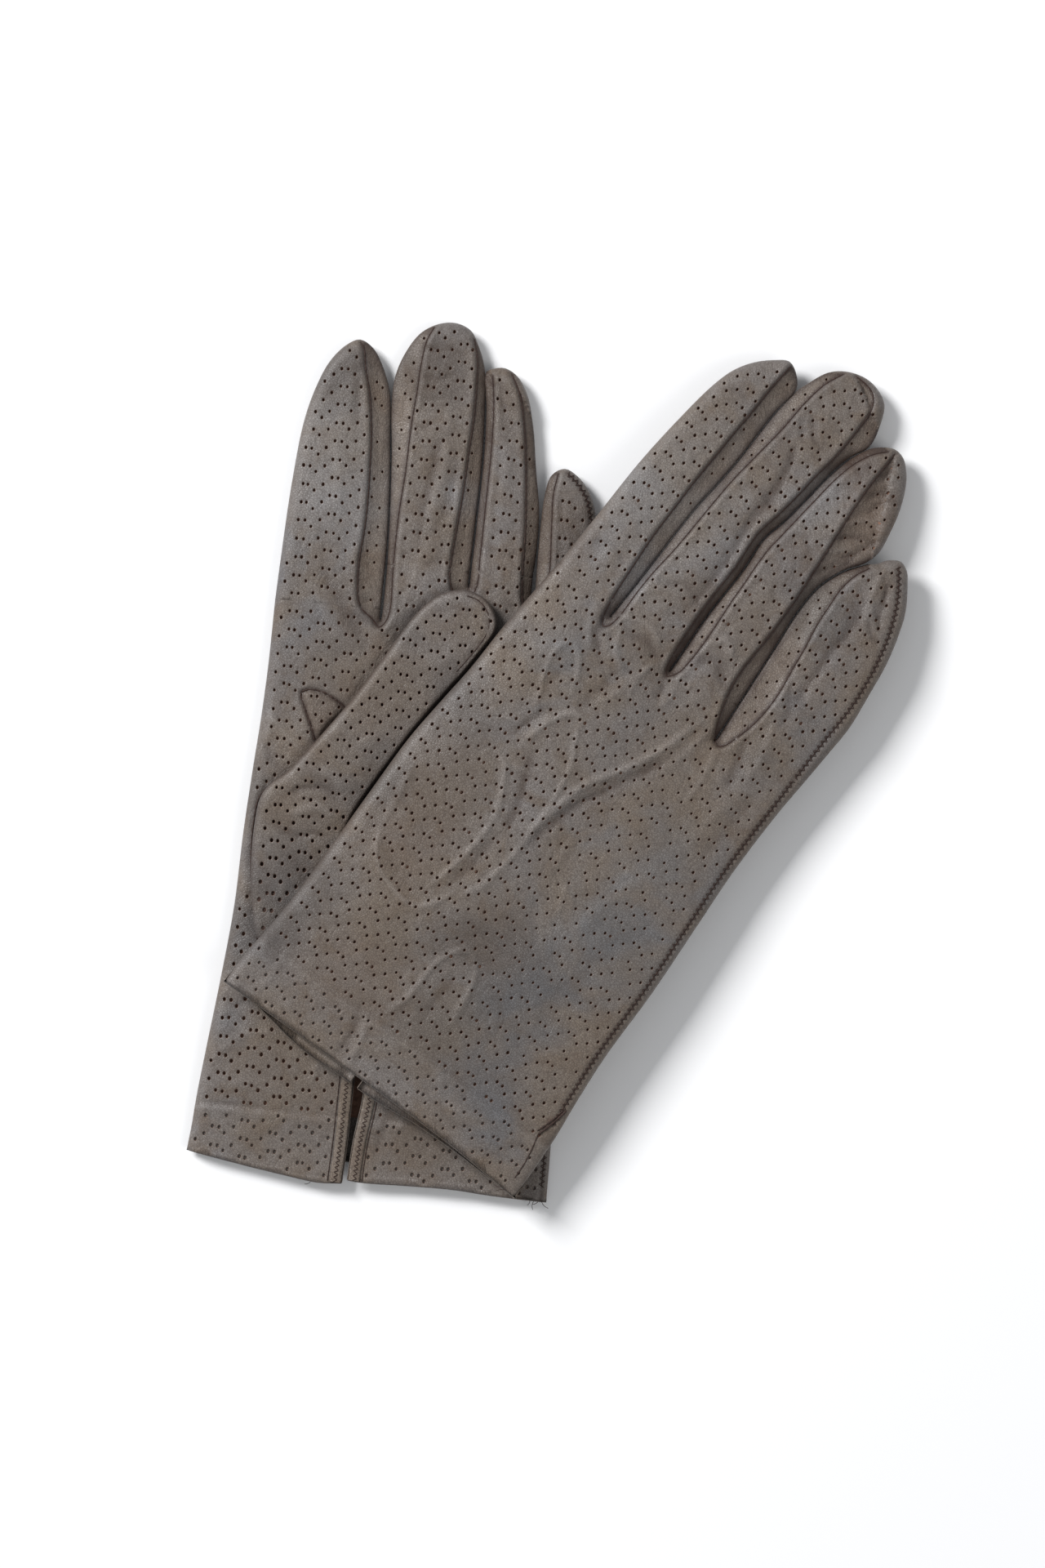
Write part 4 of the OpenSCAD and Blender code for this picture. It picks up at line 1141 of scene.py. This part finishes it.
def leather(name, cool, mid, warm, deep, shine=0.5, grain=1.0, wear=1.0, wrinkle=1.0):
    """Soft finished hide: patches of tone, fine pores, small wrinkles, with painted shade in seams and hollows and
    painted highlight on the high points.
    """
    m = bpy.data.materials.new(name)
    m.use_nodes = True
    nt = m.node_tree
    bsdf = nt.nodes["Principled BSDF"]
    co = nt.nodes.new("ShaderNodeTexCoord").outputs["Object"]
    big = noise_tex(nt, co, 38.0, 3.0, 0.6, 0.4)
    patch = noise_tex(nt, co, 120.0, 4.0, 0.6, 0.6)
    fine = noise_tex(nt, co, 900.0, 3.0, 0.6)
    c = mix_colour(nt, ramp(nt, big, 0.36, 0.64), cool, mid)
    c = mix_colour(nt, ramp(nt, patch, 0.50, 0.74, 0.0, 0.75), c, warm)
    c = mix_colour(nt, ramp(nt, fine, 0.40, 0.66, 0.0, 0.18), c, deep)
    # wrinkles: stretched noise folded into creases
    mp = nt.nodes.new("ShaderNodeMapping")
    mp.inputs["Rotation"].default_value = (0, 0, 0.5)
    mp.inputs["Scale"].default_value = (1.0, 0.55, 1.0)
    nt.links.new(co, mp.inputs["Vector"])
    wr = noise_tex(nt, mp.outputs[0], 260.0, 5.0, 0.62, 0.8)
    crease = math_node(nt, "ABSOLUTE", math_node(nt, "SUBTRACT", wr, 0.5), 0.0)
    crease = ramp(nt, crease, 0.0, 0.10, 0.0, 1.0)
    c = mix_colour(nt, ramp(nt, crease, 0.0, 0.35, 0.09 * wrinkle, 0.0), c, deep)
    # painted shade darkens the seams and hollows, painted highlight lightens the ridges
    sh = nt.nodes.new("ShaderNodeAttribute")
    sh.attribute_name = "shade"
    highlight_attr = nt.nodes.new("ShaderNodeAttribute")
    highlight_attr.attribute_name = "painted_highlight"
    uneven = ramp(nt, patch, 0.3, 0.7, 0.75, 1.15)
    c = mix_colour(nt, ramp(nt, math_node(nt, "MULTIPLY", sh.outputs["Fac"], uneven), 0.0, 1.0, 0.0, 0.86), c, deep)
    c = mix_colour(nt, ramp(nt, math_node(nt, "MULTIPLY", highlight_attr.outputs["Fac"], uneven), 0.0, 1.0, 0.0, 0.55), c,
                   rgb(158, 152, 147))
    # paler on sharp convex edges where the hide wears; painted shade darkens sharp hollows
    geo = nt.nodes.new("ShaderNodeNewGeometry")
    point = geo.outputs["Pointiness"]
    c = mix_colour(nt, ramp(nt, point, 0.53, 0.68, 0.0, 0.14 * wear), c, rgb(150, 142, 136))
    c = mix_colour(nt, ramp(nt, point, 0.49, 0.40, 0.0, 0.60), c, deep)
    # broad patches of darker and paler colour: partly uneven dye, partly painted shade and painted light
    flat = nt.nodes.new("ShaderNodeMapping")
    flat.inputs["Scale"].default_value = (1.0, 1.0, 0.0)
    nt.links.new(co, flat.inputs["Vector"])
    for bx, by, br, colour, amount in BLOBS:
        d = nt.nodes.new("ShaderNodeVectorMath")
        d.operation = "DISTANCE"
        nt.links.new(flat.outputs[0], d.inputs[0])
        d.inputs[1].default_value = (bx * MM, by * MM, 0.0)
        edge = math_node(nt, "ADD", d.outputs["Value"], math_node(nt, "MULTIPLY", math_node(nt, "SUBTRACT", big, 0.5), min(0.05, br * MM * 2.2)))
        c = mix_colour(nt, ramp(nt, edge, br * MM, br * 0.25 * MM, 0.0, amount), c, colour)
    r = ramp(nt, patch, 0.35, 0.7, shine - 0.06, shine + 0.10)
    nt.links.new(r, bsdf.inputs["Roughness"])
    bsdf.inputs["Specular IOR Level"].default_value = 0.42
    bsdf.inputs["Sheen Weight"].default_value = 0.04
    bsdf.inputs["Sheen Roughness"].default_value = 0.45
    bsdf.inputs["Coat Weight"].default_value = 0.04
    bsdf.inputs["Coat Roughness"].default_value = 0.32
    # pores and grain
    vor = nt.nodes.new("ShaderNodeTexVoronoi")
    vor.feature = "DISTANCE_TO_EDGE"
    vor.inputs["Scale"].default_value = 1500.0
    nt.links.new(co, vor.inputs["Vector"])
    cell = ramp(nt, vor.outputs["Distance"], 0.0, 0.18)
    c = mix_colour(nt, ramp(nt, vor.outputs["Distance"], 0.0, 0.16, 0.42 * grain, 0.0), c, deep)
    nt.links.new(c, bsdf.inputs["Base Color"])
    b1 = nt.nodes.new("ShaderNodeBump")
    b1.inputs["Strength"].default_value = 0.42 * grain
    b1.inputs["Distance"].default_value = 0.00011
    nt.links.new(cell, b1.inputs["Height"])
    b2 = nt.nodes.new("ShaderNodeBump")
    b2.inputs["Strength"].default_value = 0.45 * wrinkle
    b2.inputs["Distance"].default_value = 0.00014
    nt.links.new(math_node(nt, "ADD", crease, math_node(nt, "MULTIPLY", fine, 0.8)), b2.inputs["Height"])
    nt.links.new(b1.outputs[0], b2.inputs["Normal"])
    b3 = nt.nodes.new("ShaderNodeBump")
    b3.inputs["Strength"].default_value = 0.35
    b3.inputs["Distance"].default_value = 0.0004
    nt.links.new(patch, b3.inputs["Height"])
    nt.links.new(b2.outputs[0], b3.inputs["Normal"])
    nt.links.new(b3.outputs[0], bsdf.inputs["Normal"])
    return m


def simple(name, a, b, scale, rough, bump=0.0001, sheen=0.0):
    m = bpy.data.materials.new(name)
    m.use_nodes = True
    nt = m.node_tree
    bsdf = nt.nodes["Principled BSDF"]
    co = nt.nodes.new("ShaderNodeTexCoord").outputs["Object"]
    n = noise_tex(nt, co, scale, 4.0, 0.65)
    nt.links.new(mix_colour(nt, ramp(nt, n, 0.35, 0.65), a, b), bsdf.inputs["Base Color"])
    nt.links.new(ramp(nt, n, 0.3, 0.7, rough - 0.08, rough + 0.08), bsdf.inputs["Roughness"])
    bsdf.inputs["Specular IOR Level"].default_value = 0.3
    bsdf.inputs["Sheen Weight"].default_value = sheen
    bp = nt.nodes.new("ShaderNodeBump")
    bp.inputs["Strength"].default_value = 0.6
    bp.inputs["Distance"].default_value = bump
    nt.links.new(n, bp.inputs["Height"])
    nt.links.new(bp.outputs[0], bsdf.inputs["Normal"])
    return m


DEEP = rgb(50, 35, 29)
HIDE = leather("leather_hide", rgb(117, 112, 109), rgb(112, 101, 90), rgb(101, 86, 71), DEEP, 0.48)
HIDE_STRIP = leather("leather_strip", rgb(122, 112, 102), rgb(116, 103, 91), rgb(101, 84, 69), DEEP, 0.50, 1.0, 0.6, 1.5)
CUT_EDGE = simple("leather_cut_edge", rgb(104, 78, 65), rgb(80, 59, 49), 1500.0, 0.8, 0.00005)
INSIDE = simple("leather_inside", rgb(146, 110, 92), rgb(118, 89, 74), 900.0, 0.85, 0.00012, 0.2)
THREAD = simple("thread", rgb(62, 42, 34), rgb(38, 26, 21), 2600.0, 0.65, 0.00006, 0.05)
INSIDE_DARK = simple("leather_inside_dark", rgb(72, 52, 44), rgb(50, 37, 32), 900.0, 0.88, 0.00010, 0.1)
MATS = {LEATHER: HIDE, STRIP: HIDE_STRIP, CUT: CUT_EDGE, INNER: INSIDE, QUIRK_M: HIDE_STRIP}


# ---------------------------------------------------------------- the gloves

NO_LINES = np.zeros((0, 2))
U_POLY = [[SEAMS[g][0], SEAMS[g][1], SEAMS[g][2]] for g in (LEFT, RIGHT)]


def holes_for(g, poly, extra=(), pitch=1.0, seed=1, r=0.40, strips=False, seams=None):
    clear = [l for l in RIMS[g]]
    h = perforations(poly, clear, pitch, r * (1.01 if g == LEFT else 0.96), seed, 1.6)
    if len(h):
        h = h[seg_distance(h[:, :2], SEAMS[g] if seams is None else seams) > 0.85]
    for lines, m in extra:
        if len(h):
            h = h[seg_distance(h[:, :2], lines) > m]
    # the strips between the fingers are punched only here and there
    if len(h):
        ins = np.zeros(len(h), bool)
        for u in U_POLY[g]:
            ins |= inside(u, h[:, :2])
        rnd = np.array([random.Random(int(a * 977 + b * 3571)).random() for a, b in h[:, :2]])
        far = (h[:, 0] > 6) & (h[:, 1] > 30) & (h[:, 1] < 126) if g == RIGHT else np.zeros(len(h), bool)
        h[:, 2] *= np.where(far, 0.88, 1.0)
        h = h[(~ins & ~(far & (rnd > 0.86))) | (ins & (rnd < 0.8))]
        ins = np.zeros(len(h), bool)
        for u in U_POLY[g]:
            ins |= inside(u, h[:, :2])
        h[:, 2] *= np.where(ins, 0.85, 1.0)
        if g == LEFT:
            # wider towards the thumb's root and the cuff
            h[:, 2] *= 1 + 0.16 * (1 - smooth((h[:, 1] - 60) / 60.0))
    return h


def split_emit(name, g, shell, body, others, covers_main, covers_strip, extra=None):
    """Emits the main leather and the strips of a shell as separate pieces."""
    main = [i for i, m in enumerate(shell.m) if m not in (STRIP, QUIRK_M)]
    strip = [i for i, m in enumerate(shell.m) if m in (STRIP, QUIRK_M)]
    out = []
    for sub, suffix, covers, slot in ((main, "leather", covers_main, "leather"),
                                      (strip, "fourchette", covers_strip, "leather_strip")):
        if not sub:
            continue
        o = emit(NAME[g] + name + "_" + suffix, g, shell.v, [shell.f[i] for i in sub], [shell.m[i] for i in sub], MATS,
                 tones=shell.t)
        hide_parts(*[NAME[g] + c for c in covers])
        out.append(o)
    return out


def finger_blend(o):
    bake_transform(o)


def resample(line, step):
    line = np.asarray(line, float)
    run = np.concatenate([[0], np.cumsum(np.sqrt(((line[1:] - line[:-1]) ** 2).sum(1)))])
    n = max(2, int(run[-1] / step) + 1)
    s_ = np.linspace(0, run[-1], n)
    return np.stack([np.interp(s_, run, line[:, k]) for k in range(line.shape[1])], 1)


def bead_mesh(g, line, side, root, r=0.21, lift=0.0, zfun=None):
    line = resample(line, 0.38)
    z = (zfun or (lambda a, b: height(g, side, a, b, root)))(line[:, 0], line[:, 1])
    p = np.stack([line[:, 0], line[:, 1], z + lift], 1)
    return tube(p, r, 6, lambda s_: 0.62 + 0.5 * abs(math.sin(math.pi * s_ / 2.1)) ** 0.6)


def zigzag_mesh(g, line, side, root, amp=0.74, period=1.6, r=0.135, lift=0.12):
    step = period / 8
    line = resample(line, step)
    t = np.gradient(line, axis=0)
    t /= np.maximum(1e-9, np.hypot(t[:, 0], t[:, 1]))[:, None]
    n = np.stack([-t[:, 1], t[:, 0]], 1)
    run = np.arange(len(line)) * step
    ph = (run / period) % 1.0
    a = amp * (4 * np.abs(ph - 0.5) - 1)
    q = line + n * a[:, None]
    z = height(g, side, q[:, 0], q[:, 1], root)
    sgn = 1 if side == "top" else -1
    dip = 0.16 * (np.abs(a) / amp) ** 6
    p = np.stack([q[:, 0], q[:, 1], z + sgn * (lift - dip)], 1)
    return tube(p, r, 5)


def band_mesh(g, side, line, root, offs, hts, sign):
    """A raised strip of leather along an edge."""
    line = resample(line, 0.8)
    t = np.gradient(line, axis=0)
    t /= np.maximum(1e-9, np.hypot(t[:, 0], t[:, 1]))[:, None]
    n = np.stack([-t[:, 1], t[:, 0]], 1) * sign
    verts, faces = [], []
    sgn = 1 if side == "top" else -1
    for o_, h in zip(offs, hts):
        q = line + n * o_
        z = height(g, side, q[:, 0], q[:, 1], root) + sgn * h
        verts += [(q[i, 0], q[i, 1], z[i]) for i in range(len(q))]
    L = len(line)
    for a in range(len(offs) - 1):
        for i in range(L - 1):
            f = (a * L + i, a * L + i + 1, (a + 1) * L + i + 1, (a + 1) * L + i)
            faces.append(f if sign * sgn > 0 else f[::-1])
    return verts, faces


def threads(name, g, parts, body=None, finger=None, covers=(), material=THREAD, blend_with=None):
    verts, faces = [], []
    for v, f in parts:
        n = len(verts)
        verts += v
        faces += [tuple(i + n for i in q) for q in f]
    if not faces:
        return None
    o = emit(NAME[g] + name, g, verts, faces, [0] * len(faces), {0: material}, merge=False)
    if covers:
        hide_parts(*[NAME[g] + c for c in covers])
    if finger is not None:
        finger_blend(o)
    elif blend_with is not None:
        blend_with(o)
    else:
        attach(o, NAME[g] + "hand")
    return o


def hem_crease(g):
    x = np.linspace(-46, 46, 110)
    return np.stack([x, HEM_DEPTH + 0.35 * np.sin(x / 9.0 + g) + 0.4], 1)


def hand(g):
    shell = Shell()
    roots = ROOTS[g]
    f = FINGER[g]
    top_line = [straight(f[0][-1], f[0][0]), spline(CROTCH[g][0], 0.7), straight(f[1][-1], f[1][0]),
                spline(CROTCH[g][1], 0.7), straight(f[2][-1], f[2][0]), spline(CROTCH[g][2], 0.7),
                straight(f[3][-1], f[3][0])]
    hem_palm = [spline(HEM_PALM[g])[::1], spline(SLIT[g], 0.8), spline(HEM_PALM2[g])]
    corner_l, corner_r = SIDE_IN[g][0], SIDE_OUT[g][-1]
    hb = HEM_BACK[g]
    hem_back = [spline([corner_l] + [(corner_l[0] * 0.6, hb[1][1] - 0.2), hb[1], (corner_r[0] * 0.6, hb[1][1] - 0.3)]
                       + [corner_r])]
    rims = [spline(SIDE_IN[g]), spline(SIDE_OUT[g])] + [spline(c, 0.7) for c in CROTCH[g]]
    loops = {}
    for part, hem in (("palm", hem_palm), ("back", hem_back)):
        rev = [h[::-1] for h in hem[::-1]]
        loops[part] = chain(spline(SIDE_IN[g]), *top_line, spline(SIDE_OUT[g]), *rev)
    palm_side = "top" if g == LEFT else "bottom"
    seams = SEAMS[g] + [SIDE_SEAM[g]]
    for part, side in (("palm", palm_side), ("back", "bottom" if g == LEFT else "top")):
        loop = loops[part]
        sgn = 1 if side == "top" else -1
        hem = hem_palm if part == "palm" else hem_back
        extra = [(top_line, 0.95), (hem, 1.3), (SIDE_LINES[g], 1.7)]
        if part == "palm":
            extra.append(([hem_palm[1]], 4.2))
        holes = holes_for(g, loop, extra, 1.0, 11 + g)
        # none along the hem's crease
        if len(holes):
            holes = holes[np.abs(holes[:, 1] - HEM_DEPTH) > 0.9]
        if g == LEFT and part == "palm" and len(holes):
            # the thumb grows from the palm here
            far = seg_distance(holes[:, :2], THUMB_RIM[g])
            ins = inside(THUMB_RIM[g][0], holes[:, :2])
            holes = holes[ins | (far > 1.0)]
            qd = seg_distance(holes[:, :2], QUIRK_LINES[g])
            holes = holes[qd > 0.9]
        extra_seams = list(QUIRK_LINES[g]) if part == "palm" else []

        def kind(cen, g=g, part=part):
            m = np.full(len(cen), LEATHER)
            for u in U_POLY[g]:
                m[inside(u, cen)] = STRIP
            if part == "palm":
                m[inside(QUIRK_EDGE[g][0], cen)] = QUIRK_M
            return m

        build_sheet(shell, loop, rims, seams + extra_seams, holes,
                    lambda x, y, side=side: height(g, side, x, y), sgn, kind, rolls=hem,
                    creases=FOLD_ALL.get((g, side), []) + [hem_crease(g)],
                    shades=lambda x, y, side=side: tone(g, side, x, y))
    main, strip = split_emit("hand", g, shell, None, None,
                             ("back_panel", "back_hem", "palm_panel", "palm_hem", "index_side_fold"),
                             ("finger_crotches",))
    for o in (main, strip):
        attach(o, NAME[g] + "hand")
    # welts beside the wrist slit
    sl = hem_palm[1]
    top_i = int(np.argmax(sl[:, 1]))
    legs = (sl[:top_i + 1], sl[top_i:])
    for leg, nm, sign in ((legs[0], "slit_welt_inner", 1), (legs[1][::-1], "slit_welt_outer", -1)):
        ext = np.vstack([leg, leg[-1:] + np.array([[0, 1.6]])])
        v, fa = band_mesh(g, palm_side, ext, None, (0.12, 0.14, 0.6, 1.7, 2.8, 3.15, 3.2), (-0.1, 0.3, 0.42, 0.45, 0.40, 0.26, -0.1),
                          sign)
        o = threads(nm, g, [(v, fa)], covers=(nm,), material=HIDE_STRIP)
        nl = ext.copy()
        t = np.gradient(nl, axis=0)
        t /= np.maximum(1e-9, np.hypot(t[:, 0], t[:, 1]))[:, None]
        nl = nl + np.stack([-t[:, 1], t[:, 0]], 1) * sign * 1.75
        outer = nl + np.stack([-t[:, 1], t[:, 0]], 1) * sign * 2.0
        outer = outer[:-6]
        threads(nm + "_stitches", g, [zigzag_mesh(g, nl, palm_side, None, 0.55, 1.3, 0.13, 0.50),
                                      bead_mesh(g, outer, palm_side, None, 0.14, 0.04)])
    # seam threads
    parts = []
    for side in ("top", "bottom"):
        for k, line in enumerate(SEAMS[g]):
            j = int(np.argmin(line[:, 1]))
            n1 = [i for i in range(len(line)) if (i <= j and line[i, 1] <= roots[k] + 0.3)
                  or (i > j and line[i, 1] <= roots[k + 1] + 0.3)]
            parts.append(bead_mesh(g, line[n1[0]:n1[-1] + 1], side, None))
    threads("crotch_stitching", g, parts)
    parts = []
    for side in ("top", "bottom"):
        line = SIDE_SEAM[g]
        line = line[line[:, 1] <= roots[3] + 0.2]
        line = line[line[:, 1] > 1.0]
        parts.append(zigzag_mesh(g, line, side, None))
        parts.append(bead_mesh(g, line, side, None, 0.16, 0.0))
    threads("side_seam_stitching", g, parts, covers=("side_seam",))
    # quirk
    parts = [bead_mesh(g, l, palm_side, None, 0.27, 0.05) for l in QUIRK_LINES[g]]
    threads("thumb_quirk_stitching", g, parts, covers=("thumb_quirk",))


QUIRK_LINES = QUIRK_EDGE
def finger(g, k):
    shell = Shell()
    f = FINGER[g][k]
    rim = [spline(f)]
    root_line = straight(f[-1], f[0])
    loop = chain(rim[0], root_line)
    root = ROOTS[g][k]
    seams = list(SEAMS[g]) + ([SIDE_SEAM[g]] if k == 3 else [])
    pitch = 1.0
    holes = holes_for(g, loop, [([root_line], 0.95), (SIDE_LINES[g], 1.7)], pitch, 31 + k + 10 * g)

    def kind(cen):
        m = np.full(len(cen), LEATHER)
        for u in U_POLY[g]:
            m[inside(u, cen)] = STRIP
        return m

    for side, sgn in (("top", 1), ("bottom", -1)):
        build_sheet(shell, loop, rim, seams, holes, lambda x, y, side=side: height(g, side, x, y, root), sgn, kind,
                    creases=FOLD_ALL.get((g, side), []), shades=lambda x, y, side=side: tone(g, side, x, y))
    nm = FINGERS[k]
    main_nodes = {0: ("index_back", "index_palm", "index_outer_fold"), 1: ("middle_back", "middle_palm"),
                  2: ("ring_back", "ring_palm"), 3: ("little_back", "little_palm")}[k]
    strip_nodes = {0: ("index_fourchette",), 1: ("middle_fourchette_inner", "middle_fourchette_outer"),
                   2: ("ring_fourchette_inner", "ring_fourchette_outer"), 3: ("little_fourchette",)}[k]
    for o in split_emit(nm, g, shell, None, None, main_nodes, strip_nodes):
        finger_blend(o)
    parts = []
    for side in ("top", "bottom"):
        for q, line in enumerate(SEAMS[g]):
            j = int(np.argmin(line[:, 1]))
            if q == k:
                leg = np.array([p for i, p in enumerate(line) if i <= j and p[1] >= root])
            elif q == k - 1:
                leg = np.array([p for i, p in enumerate(line) if i > j and p[1] >= root])
            else:
                continue
            if len(leg) > 3:
                parts.append(bead_mesh(g, leg, side, root))
    threads(nm + "_stitching", g, parts, finger=k)
    if k == 3:
        parts = []
        for side in ("top", "bottom"):
            line = SIDE_SEAM[g]
            line = line[line[:, 1] >= root + 0.2]
            parts.append(zigzag_mesh(g, line, side, root))
            parts.append(bead_mesh(g, line, side, root, 0.16))
        threads("little_side_stitching", g, parts, finger=3, covers=("little_side_seam",))


def thumb(g):
    shell = Shell()
    loop = chain(THUMB_RIM[g][0])
    holes = perforations(loop, THUMB_RIM[g], 0.97 if g == LEFT else 1.0, 0.40, 71 + g, 1.5)
    if g == LEFT:
        # larger holes near the thumb's root
        near_root = smooth((104 - holes[:, 1]) / 30.0)
        holes[:, 2] *= 1 + 0.28 * near_root
    for side, sgn in (("top", 1), ("bottom", -1)):
        build_sheet(shell, loop, THUMB_RIM[g], [], holes, lambda x, y, side=side: thumb_height(g, side, x, y), sgn,
                    lambda cen: np.full(len(cen), LEATHER), lining=True,
                    creases=[l[0][0] for l in THUMB_LINES] + TIP_SEAM if g == LEFT else (),
                    shades=lambda x, y, side=side: thumb_tone(g, side, x, y))
    o = emit(NAME[g] + "thumb_leather", g, shell.v, shell.f, shell.m, {**MATS, INNER: INSIDE_DARK}, tones=shell.t)
    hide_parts(*[NAME[g] + n for n in ("thumb_outer", "thumb_inner", "thumb_gusset")])

    def bend(ob):
        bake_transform(ob)

    bend(o)
    return bend


BENDS = []
for g in (LEFT, RIGHT):
    hand(g)
    for k in range(4):
        finger(g, k)
    BENDS.append(thumb(g))
    side = "top" if g == LEFT else "bottom"
    threads("thumb_seam_stitching", g, [bead_mesh(g, GUSSET_LINE[g], side, None, 0.22)])
    if g == LEFT:
        threads("thumb_tip_stitching", g, [bead_mesh(g, TIP_SEAM[0], "top", None, 0.17, 0.0,
                                                     lambda a, b: thumb_height(LEFT, "top", a, b))],
                blend_with=BENDS[g])


def loose_thread(g, start, heading, length, bend, z0, r=0.085):
    n = 14
    x, y = start
    a = math.radians(heading)
    pts = []
    for i in range(n):
        t = i / (n - 1)
        pts.append((x, y, z0 - min(0.75 * z0, 2.8) * t + 0.25 * math.sin(3.1 * t) + 0.1))
        x += math.cos(a) * length / n
        y += math.sin(a) * length / n
        a += math.radians(bend) / n
    return tube(pts, r, 5)


threads("cuff_loose_threads", LEFT,
        [loose_thread(LEFT, (46.9, -2.4), -70, 3.2, 60, 3.6), loose_thread(LEFT, (46.2, -2.3), -110, 2.6, -70, 3.3),
         loose_thread(LEFT, (45.2, -2.3), -130, 3.4, 80, 3.6), loose_thread(LEFT, (43.6, -2.2), -60, 2.2, -90, 3.5),
         loose_thread(LEFT, (47.2, -1.0), -20, 2.0, -80, 3.0), loose_thread(LEFT, (-14.5, -2.7), -110, 2.6, -80, 3.4)])
threads("cuff_loose_threads", RIGHT,
        [loose_thread(RIGHT, (46.2, -1.2), -160, 3.4, 60, 13.2), loose_thread(RIGHT, (44.6, -1.0), -120, 2.4, -70, 13.2)])

# stitches of the gathered pleat where the upper glove's side seam ends short of the cuff
threads("cuff_pleat_stitches", RIGHT,
        [bead_mesh(RIGHT, [(46.7, 25.2), (46.0, 21.6), (45.1, 18.2), (44.3, 15.8)], "top", None, 0.34, 0.10),
         bead_mesh(RIGHT, [(46.0, 25.0), (45.3, 21.6), (44.3, 18.3), (43.6, 16.3)], "top", None, 0.24, 0.02),
         bead_mesh(RIGHT, [(44.3, 15.6), (45.3, 11.5), (45.9, 7.5), (46.1, 2.6)], "top", None, 0.15, 0.02)])


# ---------------------------------------------------------------- floor, light, camera

floor_mesh = bpy.data.meshes.new("floor")
floor_mesh.from_pydata([(-3, -3, -0.0002), (3, -3, -0.0002), (3, 3, -0.0002), (-3, 3, -0.0002)], [], [(0, 1, 2, 3)])
floor = bpy.data.objects.new("floor", floor_mesh)
bpy.context.scene.collection.objects.link(floor)
fm = bpy.data.materials.new("floor_white")
fm.use_nodes = True
fb = fm.node_tree.nodes["Principled BSDF"]
fb.inputs["Base Color"].default_value = (0.95, 0.95, 0.95, 1)
fb.inputs["Roughness"].default_value = 0.9
fb.inputs["Specular IOR Level"].default_value = 0.1
floor_mesh.materials.append(fm)

world = bpy.data.worlds.new("world")
bpy.context.scene.world = world
world.use_nodes = True
world.node_tree.nodes["Background"].inputs[0].default_value = (0.93, 0.96, 1.0, 1)
world.node_tree.nodes["Background"].inputs[1].default_value = 0.33


def area(name, loc, size, power, colour=(1, 1, 1)):
    d = bpy.data.lights.new(name, "AREA")
    d.shape = "RECTANGLE"
    d.size, d.size_y = size
    d.energy = power
    d.color = colour
    o = bpy.data.objects.new(name, d)
    o.location = loc
    o.rotation_mode = "QUATERNION"
    o.rotation_quaternion = (Vector((0, 0, 0)) - Vector(loc)).to_track_quat("-Z", "Y")
    bpy.context.scene.collection.objects.link(o)
    return o


key = area("key", (-1.75, 1.35, 1.75), (0.9, 0.9), 92.0, (0.99, 0.99, 1.0))
fill = area("fill", (1.8, -0.9, 2.2), (1.6, 1.6), 16.0, (1.0, 0.98, 0.96))

cam_data = bpy.data.cameras.new("camera")
cam_data.sensor_width = 36.0
cam_data.sensor_fit = "AUTO"
dist = 1.5
cam_data.lens = 36.0 * dist / 0.41472
cam_data.clip_start, cam_data.clip_end = 0.05, 20.0
cam = bpy.data.objects.new("camera", cam_data)
cam.location = (-0.00637, -0.00568, dist + 0.010)
cam.rotation_euler = (0, 0, 0)
bpy.context.scene.collection.objects.link(cam)
bpy.context.scene.camera = cam

bpy.context.scene.view_settings.view_transform = "Standard"
bpy.context.view_layer.update()
